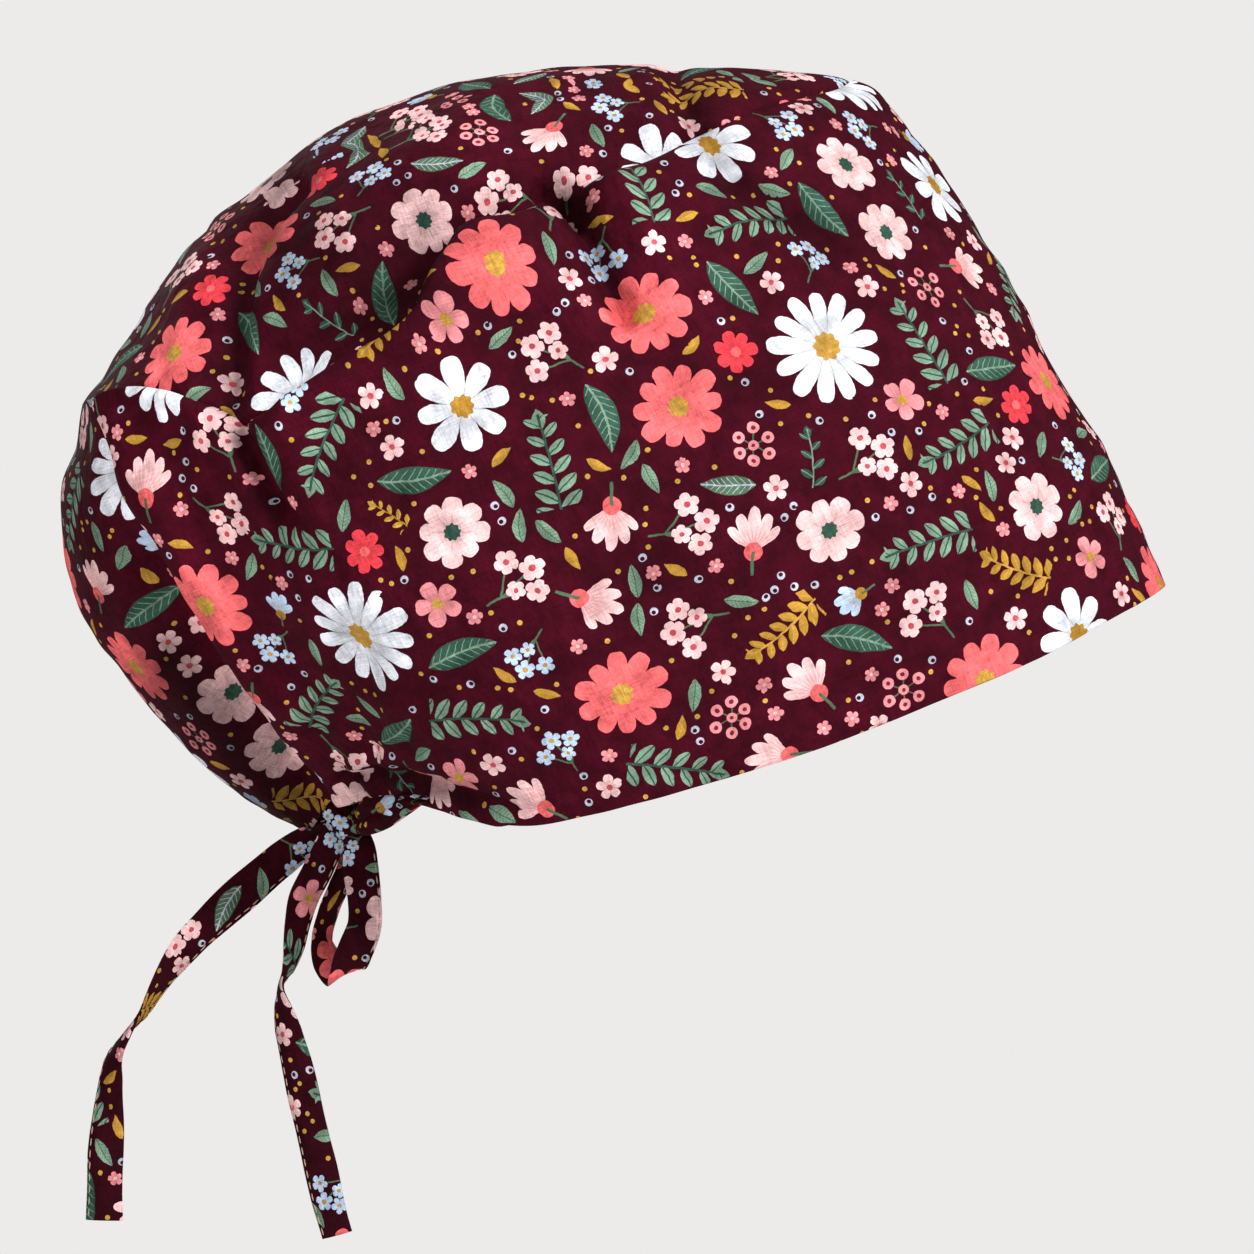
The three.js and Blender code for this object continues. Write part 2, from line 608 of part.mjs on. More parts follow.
// A flat strap swept through its stations, each with its middle, the direction of its width and the width.
function strapGeometry(stations) {
  const curve = smoothCurve(stations.map((station) => station.middle));
  const spans = stations.length - 1;
  const points = [];
  for (let i = 0; i <= spans * STRAP_STEPS; i += 1) {
    const at = i / STRAP_STEPS;
    const k = Math.min(Math.floor(at), spans - 1);
    const middle = curve.getPoint(at / spans);
    const forward = curve.getTangent(at / spans);
    const across = between(stations[k].across, stations[k + 1].across, at - k);
    across.addScaledVector(forward, -across.dot(forward)).normalize();
    const out = new THREE.Vector3().crossVectors(forward, across).normalize();
    const width = THREE.MathUtils.lerp(stations[k].width, stations[k + 1].width, at - k);
    for (const { side, face } of STRAP_SECTION) {
      const p = middle.clone().addScaledVector(across, (side * width) / 2);
      points.push(p.addScaledVector(out, (face * TIE_THICKNESS) / 2));
    }
  }
  const n = STRAP_SECTION.length;
  const triangles = [];
  for (let i = 0; i < spans * STRAP_STEPS; i += 1) {
    for (let j = 0; j < n; j += 1) {
      const [a, b] = [i * n + j, i * n + ((j + 1) % n)];
      triangles.push([a, b, b + n], [a, b + n, a + n]);
    }
  }
  const end = spans * STRAP_STEPS * n;
  for (let j = 1; j < n - 1; j += 1) {
    triangles.push([0, j + 1, j], [end, end + j, end + j + 1]);
  }
  return geometryFrom(points, triangles);
}

function stationsOf(route) {
  const knot = place(KNOT_PLACE);
  return route.map((row) => {
    const [turn, tilt] = [row.turn, row.tilt].map(THREE.MathUtils.degToRad);
    return {
      middle: new THREE.Vector3(row.x, row.y, row.z).add(knot),
      across: new THREE.Vector3(Math.cos(turn) * Math.cos(tilt), Math.sin(turn) * Math.cos(tilt), Math.sin(tilt)),
      width: row.wide * TIE_WIDTH,
    };
  });
}

// The strap from the right end of the band to the knot: it hangs along the hem and then runs inwards.
function napeStations(side) {
  const upwards = new THREE.Vector3(0, 0, 1);
  const stations = NAPE_STRAP.map((row) => {
    const hem = hemCurve.getPointAt(0.5 + row.along / 2);
    const width = row.wide * TIE_WIDTH;
    return { middle: hem.addScaledVector(upwards, -width / 2 - SEAT_GAP), across: upwards, width };
  });
  const last = stations[stations.length - 1];
  const knot = place(KNOT_PLACE);
  const halfway = between(last.middle, knot, 0.5);
  stations.push({ middle: halfway, across: upwards, width: last.width });
  stations.push({ middle: knot, across: upwards, width: last.width * 0.6 });
  if (side === "right") return stations;
  return stations.map((station) => ({ ...station, middle: mirrored(station.middle) }));
}

// A strap with the room that the knot takes out of it.
function strapToKnot(stations) {
  const strap = toSolid(strapGeometry(stations));
  return toGeometry(strap.subtract(toSolid(knotGeometry(SEAT_GAP))));
}

const group = new THREE.Group();

function add(name, geometry) {
  const mesh = new THREE.Mesh(geometry, clothMaterial());
  mesh.name = name;
  group.add(mesh);
}

const panels = capPanels();
add("band", panels.band);
add("crown_back", panels.crown);
add("knot", knotGeometry(0));
add("tie_wrap_near", strapToKnot(napeStations("right")));
add("tie_wrap_far", strapToKnot(napeStations("left")));
add("bow_loop", strapToKnot(stationsOf(LOOP_ROUTE)));
add("tie_end_rear", strapToKnot(stationsOf(REAR_END_ROUTE)));
add("tie_end_front", strapToKnot(stationsOf(FRONT_END_ROUTE)));

export default group;
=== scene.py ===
# A cloth scrub cap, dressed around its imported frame: two printed panels with their folds, hems and seams,
# and the strap tied at the nape. The shapes are worked out in millimetres and built in metres, in the frame
# of the part: X to the front, Y to the wearer's left, Z up.
import math

import bmesh
import bpy
import numpy as np
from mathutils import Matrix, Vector


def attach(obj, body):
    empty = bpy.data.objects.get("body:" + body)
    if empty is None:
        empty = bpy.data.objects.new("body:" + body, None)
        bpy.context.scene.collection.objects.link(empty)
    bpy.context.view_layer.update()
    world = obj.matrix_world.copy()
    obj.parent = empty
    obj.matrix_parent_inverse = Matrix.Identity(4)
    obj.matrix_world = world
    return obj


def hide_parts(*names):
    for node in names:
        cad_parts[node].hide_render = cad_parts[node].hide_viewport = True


MM = 0.001
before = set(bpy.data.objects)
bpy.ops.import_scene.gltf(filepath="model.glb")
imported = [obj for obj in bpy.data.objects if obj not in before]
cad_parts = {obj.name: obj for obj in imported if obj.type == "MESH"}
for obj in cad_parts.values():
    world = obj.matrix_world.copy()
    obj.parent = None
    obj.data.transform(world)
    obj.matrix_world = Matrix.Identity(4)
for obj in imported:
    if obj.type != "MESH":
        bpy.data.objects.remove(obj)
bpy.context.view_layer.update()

# Overall sizes of the worn cap, in millimetres.
CAP_LENGTH = 296
CAP_HEIGHT = 208
CROWN_WIDTH = 178
OPENING_WIDTH = 157
PANEL_FULLNESS = 9
TIE_WIDTH = 10

# The printed cotton in millimetres: its thickness, the pitch of its mesh, the rolls of its edges and how far
# each runs on inside.
CLOTH = 0.45
FACE = 1.5
SEAM_ROLL = 0.45
SEAM_UNDER = 1.5
HEM_ROLL = 0.6
HEM_DEPTH = 11
CASING_DEPTH = 13

# About how much cloth the panels take: half the band's length and its height, the crown's length and half
# its width, and half its width along the bend.
BAND_RUN, BAND_RISE = 290, 155
CROWN_RUN, CROWN_REACH = 390, 95
CROWN_BEND = 100

# The band's ridge over its seams with the crown: the band's height and half its length, along which the way
# from the seams is measured, and how far from them the ridge is highest.
RIDGE_RISE, RIDGE_RUN, RIDGE_AT = 150, 287, 4.2

# The crown drops beside its seams: the least drop, how much of the ridge adds to it and how far it reaches,
# and the crown's way round over its straight width. Under the band its sides run on: how far and how deep.
DROP, DROP_MORE, DROP_REACH, CROWN_BOW = 0.95, 0.45, 4.5, 1.15
UNDER_BAND = [(1.2, 0.25), (3.0, 0.5)]

# Right half of the hem, from the middle of the forehead back to the nape: shares of the cap's length,
# half the opening's width and the cap's height.
HEM = [
    (0.36, 0, 0.152), (0.351, -0.255, 0.147), (0.328, -0.446, 0.13), (0.289, -0.611, 0.102),
    (0.229, -0.764, 0.059), (0.14, -0.892, 0.005), (0.035, -0.968, -0.052), (-0.068, -1, -0.098),
    (-0.154, -0.99, -0.131), (-0.214, -0.93, -0.148), (-0.267, -0.803, -0.139), (-0.311, -0.611, -0.121),
    (-0.35, -0.42, -0.121), (-0.394, -0.204, -0.131),
]

# Right half of the seam between band and crown: shares of length, half the crown's width and height.
CROWN_SEAM = [
    (0.075, 0, 0.802), (0.06, -0.18, 0.783), (0.029, -0.326, 0.766), (-0.02, -0.483, 0.74),
    (-0.067, -0.596, 0.706), (-0.106, -0.674, 0.675), (-0.154, -0.73, 0.646), (-0.189, -0.764, 0.626),
    (-0.232, -0.809, 0.595), (-0.272, -0.831, 0.583), (-0.291, -0.888, 0.53), (-0.313, -0.933, 0.463),
    (-0.368, -0.944, 0.419), (-0.416, -0.921, 0.378), (-0.449, -0.876, 0.352), (-0.494, -0.798, 0.368),
    (-0.536, -0.708, 0.387), (-0.573, -0.629, 0.392), (-0.605, -0.551, 0.382),
]

# By the same shares: that seam's last stretch down to the nape, the front's middle line, and the crown's crest.
NAPE_SEAM = [
    (-0.605, -0.551, 0.382), (-0.588, -0.584, 0.333), (-0.571, -0.596, 0.262), (-0.54, -0.584, 0.198),
    (-0.513, -0.551, 0.127), (-0.486, -0.494, 0.071), (-0.46, -0.427, 0.014), (-0.433, -0.337, -0.049),
    (-0.407, -0.247, -0.094), (-0.394, -0.18, -0.131),
]
FRONT_LINE = [
    (0.36, 0, 0.152), (0.325, 0, 0.26), (0.275, 0, 0.389), (0.226, 0, 0.519), (0.174, 0, 0.649),
    (0.134, 0, 0.727), (0.106, 0, 0.779), (0.075, 0, 0.802),
]
CREST = [
    (0.075, 0, 0.802), (0, 0, 0.815), (-0.082, 0, 0.82), (-0.155, 0, 0.822), (-0.219, 0, 0.815),
    (-0.274, 0, 0.805), (-0.338, 0, 0.775), (-0.406, 0, 0.731), (-0.483, 0, 0.646), (-0.538, 0, 0.561),
    (-0.593, 0, 0.449), (-0.626, 0, 0.386), (-0.639, 0, 0.305), (-0.642, 0, 0.221), (-0.631, 0, 0.143),
    (-0.604, 0, 0.065), (-0.561, 0, -0.013), (-0.509, 0, -0.091), (-0.462, 0, -0.143), (-0.426, 0, -0.179),
]

# How full the band stands, from the front's middle to its end: place along it, share of PANEL_FULLNESS.
BAND_FULLNESS = [
    (0, 0), (0.15, 0.5), (0.3, 1), (0.45, 1), (0.6, 0.45), (0.75, 0), (0.88, -0.1), (1, 0),
]

# Sections of the crown: place along the side seam, place along the crest, degrees that it bends round.
CROWN_SECTIONS = [
    (0, 0, 60), (0.082, 0.028, 60), (0.133, 0.062, 61), (0.214, 0.123, 63), (0.282, 0.191, 65),
    (0.348, 0.258, 66), (0.421, 0.326, 65), (0.507, 0.43, 62), (0.576, 0.532, 60), (0.644, 0.602, 60),
    (0.674, 0.632, 62), (0.742, 0.698, 70), (0.822, 0.776, 76), (0.896, 0.855, 78), (0.974, 0.955, 74),
    (1, 1, 70),
]


# ---------------------------------------------------------------- curves and panels


def place(rows, width=CROWN_WIDTH):
    """Shares of length, half the width and height as points in millimetres."""
    return np.array(rows, float) * (CAP_LENGTH, width / 2, CAP_HEIGHT)


def whole(points):
    """Points of the right half with their mirror images, so that the line crosses the middle smoothly."""
    return np.concatenate([points[:0:-1] * (1, -1, 1), points])


def smooth_line(points, per_span=48):
    """A centripetal Catmull-Rom line through the points, as a dense polyline."""
    p = np.asarray(points, float)
    p = np.concatenate([[2 * p[0] - p[1]], p, [2 * p[-1] - p[-2]]])
    out = []
    for i in range(1, len(p) - 2):
        p0, p1, p2, p3 = p[i - 1:i + 3]
        d = [max(np.linalg.norm(b - a) ** 0.5, 1e-6) for a, b in ((p0, p1), (p1, p2), (p2, p3))]
        m1 = ((p1 - p0) / d[0] - (p2 - p0) / (d[0] + d[1]) + (p2 - p1) / d[1]) * d[1]
        m2 = ((p2 - p1) / d[1] - (p3 - p1) / (d[1] + d[2]) + (p3 - p2) / d[2]) * d[1]
        t = np.arange(per_span)[:, None] / per_span
        a = 2 * p1 - 2 * p2 + m1 + m2
        b = -3 * p1 + 3 * p2 - 2 * m1 - m2
        out.append(a * t**3 + b * t**2 + m1 * t + p1)
    out.append(p[-2:-1])
    return np.concatenate(out)


class Line:
    """A smooth line through points, read at shares of its length."""

    def __init__(self, points):
        self.points = smooth_line(points)
        steps = np.linalg.norm(np.diff(self.points, axis=0), axis=1)
        self.at = np.concatenate([[0], np.cumsum(steps)])
        self.length = self.at[-1]
        self.at /= self.length

    def __call__(self, share):
        share = np.asarray(share, float)
        return np.stack([np.interp(share, self.at, self.points[:, k]) for k in range(3)], -1)


def look_up(rows, column, at):
    """A column of a table at places along its first one, on a smooth line through its rows."""
    t = np.array(rows, float)
    x, y = t[:, 0], t[:, column]
    slope = np.gradient(y, x)
    i = np.clip(np.searchsorted(x, at, side="right") - 1, 0, len(x) - 2)
    h = x[i + 1] - x[i]
    s = np.clip((at - x[i]) / h, 0, 1)
    h00, h10 = 2 * s**3 - 3 * s**2 + 1, s**3 - 2 * s**2 + s
    h01, h11 = -2 * s**3 + 3 * s**2, s**3 - s**2
    return h00 * y[i] + h10 * h * slope[i] + h01 * y[i + 1] + h11 * h * slope[i + 1]


def smooth_step(t):
    """From 0 to 1, level at both ends."""
    t = np.clip(t, 0, 1)
    return t * t * (3 - 2 * t)


def unit(v):
    """Vectors at length one."""
    return v / np.maximum(np.linalg.norm(v, axis=-1, keepdims=True), 1e-9)


def departure(line, share):
    """How far a line lies off the straight one between its ends, at shares of its length."""
    a, b = line(0.0), line(1.0)
    share = np.asarray(share)[..., None]
    return line(share[..., 0]) - (a + (b - a) * share)


hem_line = Line(whole(place(HEM, OPENING_WIDTH)))
seam_line = Line(whole(place(CROWN_SEAM)))
nape_line = Line(place(NAPE_SEAM))
front_line = Line(place(FRONT_LINE))
crest_line = Line(place(CREST))


def band_half(along, rise):
    """Points of the band's right half, for every pair of a place along it and a place up it."""
    low = hem_line(0.5 + along / 2)[:, None]
    high = seam_line(0.5 + along / 2)[:, None]
    v = rise[None, :, None]
    s = smooth_step(along)[:, None, None]
    p = low + (high - low) * v
    p = p + (1 - s) * departure(front_line, rise)[None] + s * departure(nape_line, 1 - rise)[None]
    across = np.gradient(p, axis=0)
    out = unit(np.cross(high - low, across))
    full = look_up(BAND_FULLNESS, 1, along)[:, None, None] * PANEL_FULLNESS
    return p + out * full * 4 * v * (1 - v)


def crown_half(seam, out):
    """Points of the crown's right half, from the points of its side seam and places out from the crest."""
    steps = np.linalg.norm(np.diff(seam, axis=0), axis=1)
    along = np.concatenate([[0], np.cumsum(steps)])
    along /= along[-1]
    crest = crest_line(look_up(CROWN_SECTIONS, 1, along))[:, None]
    turn = np.radians(look_up(CROWN_SECTIONS, 2, along))[:, None]
    angle = out[None] * turn
    drop = ((1 - np.cos(angle)) / (1 - np.cos(turn)))[..., None]
    p = crest + (seam[:, None] - crest) * drop
    p[..., 1] = seam[:, None, 1] * np.sin(angle) / np.sin(turn)
    return p


def normals_of(grid):
    """Outward directions at a grid's points."""
    return unit(np.cross(np.gradient(grid, axis=0), np.gradient(grid, axis=1)))


# ---------------------------------------------------------------- folds

# The photograph's frame, in which the folds are drawn: millimetres to a pixel in the cap's middle plane,
# how far off the camera stands, the pixel that it looks at and that pixel's place in the part's frame.
PIXEL = 0.27
VIEW_DISTANCE = 1300
VIEW_MIDDLE = 627
VIEW_X, VIEW_Z = -38.61, 19.71
PHOTO_SIDE = 1254

# The middle of the gathers at the nape, and how far they reach.
GATHERS = (-100, 0, -20)
GATHERS_REACH = 45

# Folds of the cloth: the panel, millimetres out from the surface, reach in pixels and the pixels that each
# runs through. Both sides of the cap have them.
FOLDS = [
    ("both", -9.0, 11, [(540, 187), (563, 193), (582, 206)]),
    ("both", -7.6, 13, [(566, 198), (590, 236), (608, 274), (626, 312)]),
    ("both", -1.8, 16, [(626, 312), (640, 350)]),
    ("both", 4.8, 20, [(618, 190), (648, 240), (676, 296)]),
    ("band", 3.0, 22, [(500, 262), (556, 296), (586, 330)]),
    ("crown", -1.8, 10, [(576, 182), (619, 153), (655, 147), (700, 130)]),
    ("crown", -4.0, 13, [(676, 78), (692, 112), (700, 136)]),
    ("crown", 1.2, 16, [(640, 80), (655, 130)]),
    ("band", -3.6, 16, [(716, 160), (745, 188), (790, 216), (842, 252)]),
    ("band", 2.2, 20, [(722, 214), (800, 262)]),
    ("crown", -8.0, 25, [(490, 210), (436, 236), (402, 268), (372, 300), (320, 336), (285, 362)]),
    ("crown", 2.2, 26, [(470, 128), (390, 176), (336, 226)]),
    ("band", 2.6, 13, [(446, 272), (414, 314), (348, 362), (292, 400)]),
    ("band", 4.6, 34, [(520, 246), (462, 282), (412, 332)]),
    ("band", -1.2, 22, [(470, 330), (400, 380), (330, 420)]),
    ("crown", -6.0, 13, [(298, 180), (264, 214), (243, 268), (232, 330), (230, 388)]),
    ("band", -8.5, 12, [(232, 398), (247, 450), (262, 490), (282, 522)]),
    ("both", 2.2, 22, [(212, 225), (190, 300), (178, 372), (196, 440)]),
    ("band", 1.8, 16, [(286, 425), (300, 480), (318, 520)]),
    ("band", -1.6, 12, [(120, 402), (175, 420), (212, 462), (236, 520)]),
    ("band", 3.4, 17, [(150, 480), (190, 545), (246, 640), (296, 712)]),
    ("crown", -10.0, 22, [(140, 572), (184, 640), (232, 704), (280, 764), (312, 812)]),
    ("crown", 1.0, 22, [(90, 470), (96, 540), (130, 620)]),
    ("both", -2.6, 26, [(96, 378), (78, 410), (70, 446)]),
    ("crown", -2.2, 18, [(196, 222), (224, 248)]),
    ("both", -1.8, 16, [(886, 106), (908, 134)]),
    ("band", -1.4, 14, [(330, 560), (352, 640), (380, 720)]),
    ("band", -0.9, 20, [(880, 246), (955, 198)]),
    ("band", -0.8, 16, [(905, 276), (985, 236)]),
    ("band", 0.9, 26, [(820, 190), (900, 330)]),
    ("band", -1.0, 22, [(640, 330), (700, 420), (720, 520)]),
    ("band", 0.8, 26, [(560, 420), (600, 540), (590, 680)]),
    ("band", -1.6, 11, [(408, 792), (402, 745), (420, 690)]),
    ("band", -1.6, 9, [(384, 790), (366, 745), (350, 700)]),
    ("band", -1.3, 10, [(428, 790), (470, 745), (530, 712)]),
    ("band", -1.6, 8, [(362, 794), (336, 756), (312, 720)]),
    ("band", 1.2, 7, [(372, 790), (352, 752), (336, 726)]),
    ("band", 1.2, 8, [(398, 788), (388, 745), (392, 705)]),
    ("band", -2.8, 6, [(345, 776), (382, 772), (420, 781), (470, 796), (512, 812)]),
    ("band", 1.6, 6, [(350, 764), (385, 759), (425, 766), (460, 780)]),
    ("band", -1.5, 5, [(366, 752), (400, 748), (440, 752)]),
    ("band", 1.4, 6, [(420, 799), (460, 812), (500, 823)]),
]

# How far the band's edge stands over the crown, in millimetres, at places along the seam from the front.
OVERLAP = [
    (0, 0.5), (0.1, 0.7), (0.22, 1.3), (0.3, 2.4), (0.36, 4.4), (0.42, 5.0), (0.5, 4.0), (0.54, 3.2),
    (0.58, 1.8), (0.64, 1.4), (0.7, 2.6), (0.8, 3.6), (0.9, 3.4), (1, 1.6),
]

# Light and shade painted into the cloth's colour along its folds: the panel, how much darker, or below 0
# lighter, it is painted there, the reach in pixels and the pixels that each runs through.
PAINTED_FOLD_LIGHT = [
    ("both", 0.62, 20, [(556, 190), (576, 206)]),
    ("both", 0.5, 14, [(572, 206), (596, 246), (620, 306)]),
    ("both", -0.28, 34, [(640, 214), (664, 262), (706, 310)]),
    ("both", -0.24, 34, [(500, 262), (556, 300), (590, 326)]),
    ("both", 0.45, 20, [(694, 106), (700, 132)]),
    ("both", 0.4, 20, [(728, 176), (790, 212), (836, 248)]),
    ("both", 0.5, 13, [(285, 171), (242, 271), (228, 370), (240, 440), (262, 500), (280, 520)]),
    ("both", -0.3, 16, [(212, 240), (178, 300), (160, 372), (168, 430)]),
    ("both", 0.4, 56, [(300, 250), (370, 276), (430, 250)]),
    ("both", 0.4, 20, [(330, 330), (374, 314), (420, 288)]),
    ("both", -0.2, 30, [(290, 420), (350, 400), (410, 376)]),
    ("both", -0.22, 50, [(400, 110), (470, 150), (520, 110)]),
    ("both", 0.2, 26, [(505, 320), (560, 352)]),
    ("both", 0.2, 26, [(690, 372), (770, 390)]),
    ("crown", 0.7, 34, [(170, 666), (216, 724), (268, 782), (304, 822)]),
    ("band", -0.3, 13, [(185, 545), (246, 644), (299, 712)]),
    ("both", 0.2, 26, [(80, 440), (84, 520), (110, 600)]),
    ("both", -0.14, 90, [(180, 470), (300, 600)]),
    ("band", 0.6, 13, [(352, 782), (384, 776), (424, 784), (470, 800)]),
    ("band", 0.2, 40, [(640, 560), (700, 600)]),
    ("band", 0.16, 30, [(350, 470), (410, 500)]),
    ("band", -0.14, 40, [(480, 560), (560, 620)]),
]


def in_photo(p):
    """Where points, and the mirror images of those on the left, stand in the photograph, in pixels."""
    k = (VIEW_DISTANCE - np.abs(p[..., 1])) / VIEW_DISTANCE * PIXEL
    return np.stack([VIEW_MIDDLE + (p[..., 0] - VIEW_X) / k, VIEW_MIDDLE - (p[..., 2] - VIEW_Z) / k], -1)


def distance_to_path(q, path):
    """How far pixels are from a path of pixels."""
    best = np.full(q.shape[:-1], 1e9)
    for a, b in zip(np.array(path[:-1], float), np.array(path[1:], float)):
        d = b - a
        t = np.clip(((q - a) @ d) / (d @ d), 0, 1)[..., None]
        best = np.minimum(best, np.linalg.norm(q - a - t * d, axis=-1))
    return best


def waves(p, seed, count, longest, shortest):
    """Gentle unevenness of cloth: sums of waves of random directions, between -1 and 1 or so."""
    rng = np.random.default_rng(seed)
    out = np.zeros(p.shape[:-1])
    for k in range(count):
        length = longest * (shortest / longest) ** (k / max(count - 1, 1))
        d = unit(rng.normal(size=3))
        bend = unit(rng.normal(size=3))
        phase = (p @ d) / length * 2 * math.pi + 1.3 * np.sin((p @ bend) / length * 2.1 + k)
        out += np.sin(phase + rng.uniform(0, 6.28)) * (length / longest) ** 0.8
    return out / count**0.5


def fold_shift(p, panel):
    """How far out of its plain form a panel is at points: its folds, and its unevenness, more at the nape."""
    q = in_photo(p)
    shift = np.zeros(p.shape[:-1])
    for on, depth, reach, path in FOLDS:
        if on in (panel, "both"):
            away = distance_to_path(q, path) / reach
            shift += depth * (0.55 * np.exp(-away**2) + 0.45 * np.exp(-1.6 * np.sqrt(away**2 + 0.04)))
    shift += 0.8 * waves(p, 5, 10, 90, 20) + 0.42 * waves(p, 7, 9, 34, 9)
    near_nape = np.exp(-(np.linalg.norm(p - GATHERS, axis=-1) / GATHERS_REACH) ** 2)
    return shift + 0.7 * near_nape * waves(p, 8, 6, 20, 9)


def painted_fold_light_and_uneven_tone(p, panel):
    """How much darker the cloth is painted at points, as a share: painted shade, or below 0 painted light, along its
    folds, and a little random unevenness of tone all over.
    """
    q = in_photo(p)
    tone = np.ones(p.shape[:-1])
    for on, dark, reach, path in PAINTED_FOLD_LIGHT:
        if on in (panel, "both"):
            tone *= 1 - dark * np.exp(-((distance_to_path(q, path) / reach) ** 2))
    return 1 - tone * (1 + 0.05 * waves(p, 41, 8, 60, 12))


# ---------------------------------------------------------------- the panels' meshes


def edge_rows(grid, normals, flat, profile):
    """Rows past a grid's first one: a profile of steps outwards and downwards from its edge."""
    out = unit(grid[0] - grid[1])
    flat_out = unit(flat[0] - flat[1])
    rows, flats, run = [], [], 0
    last = (0, 0)
    for reach, drop in profile:
        run += math.dist(last, (reach, drop))
        last = (reach, drop)
        rows.append(grid[0] + out * reach - normals[0] * drop)
        flats.append(flat[0] + flat_out * run)
    return np.array(rows[::-1]), np.array(flats[::-1])


def add_edge(grid, normals, flat, profile):
    """A grid with the rows of a profile past its first row."""
    rows, flats = edge_rows(grid, normals, flat, profile)
    more = np.repeat(normals[:1], len(rows), axis=0)
    return np.concatenate([rows, grid]), np.concatenate([more, normals]), np.concatenate([flats, flat])


def half_turn(radius):
    """The profile of an edge that is turned under."""
    return [(radius * math.sin(a), radius * (1 - math.cos(a))) for a in np.linspace(0.5, math.pi, 5)]


def rolled(radius, under):
    """The profile of an edge that is turned under and runs back for a little."""
    return half_turn(radius) + [(-under, 2 * radius)]


def add_hem(grid, normals, flat, radius, depth, pitch):
    """A hem along the first row: the edge is rolled under and the cloth runs back up inside."""
    rows, flats = edge_rows(grid, normals, flat, half_turn(radius))
    count = max(int(depth / pitch), 3)
    inner = (grid[:count] - normals[:count] * 2 * radius)[::-1]
    run = unit(flat[0] - flat[1])
    inner_flat = np.array([flats[0] + run * pitch * (count - k) for k in range(count)])
    g = np.concatenate([inner, rows, grid])
    n = np.concatenate([normals[:count][::-1], np.repeat(normals[:1], len(rows), axis=0), normals])
    return g, n, np.concatenate([inner_flat, flats, flat])


def turned(a):
    """A grid with its rows as columns."""
    return np.swapaxes(a, 0, 1)


def spread(grid, stride):
    """Every few rows and columns of a grid, with the last ones, and their numbers."""
    idx = [np.unique(np.append(np.arange(0, n, stride), n - 1)) for n in grid.shape[:2]]
    return grid[np.ix_(idx[0], idx[1])], idx


def flatten(grid, start, stride=4, rounds=2500):
    """The panel's flat pattern: a coarse net of its points laid out flat at its true lengths."""
    g, idx = spread(grid, stride)
    f = spread(start, stride)[0].copy()
    links = []
    for di, dj in ((1, 0), (0, 1), (1, 1), (1, -1)):
        a = (slice(0, g.shape[0] - di), slice(max(-dj, 0), g.shape[1] - max(dj, 0)))
        b = (slice(di, None), slice(max(dj, 0), g.shape[1] + min(dj, 0)))
        links.append((a, b, np.linalg.norm(g[b] - g[a], axis=-1)))
    for _ in range(rounds):
        move = np.zeros_like(f)
        weight = np.full(f.shape[:2], 1e-9)
        for a, b, want in links:
            d = f[b] - f[a]
            have = np.maximum(np.linalg.norm(d, axis=-1), 1e-9)
            step = d * (0.5 * (have - want) / have)[..., None]
            move[a] += step
            move[b] -= step
            weight[a] += 1
            weight[b] += 1
        f += move * (1.6 / weight)[..., None]
    fine = np.empty((grid.shape[0], g.shape[1], 2))
    for j in range(g.shape[1]):
        for k in range(2):
            fine[:, j, k] = np.interp(np.arange(grid.shape[0]), idx[0], f[:, j, k])
    out = np.empty(grid.shape[:2] + (2,))
    for i in range(grid.shape[0]):
        for k in range(2):
            out[i, :, k] = np.interp(np.arange(grid.shape[1]), idx[1], fine[i, :, k])
    return out


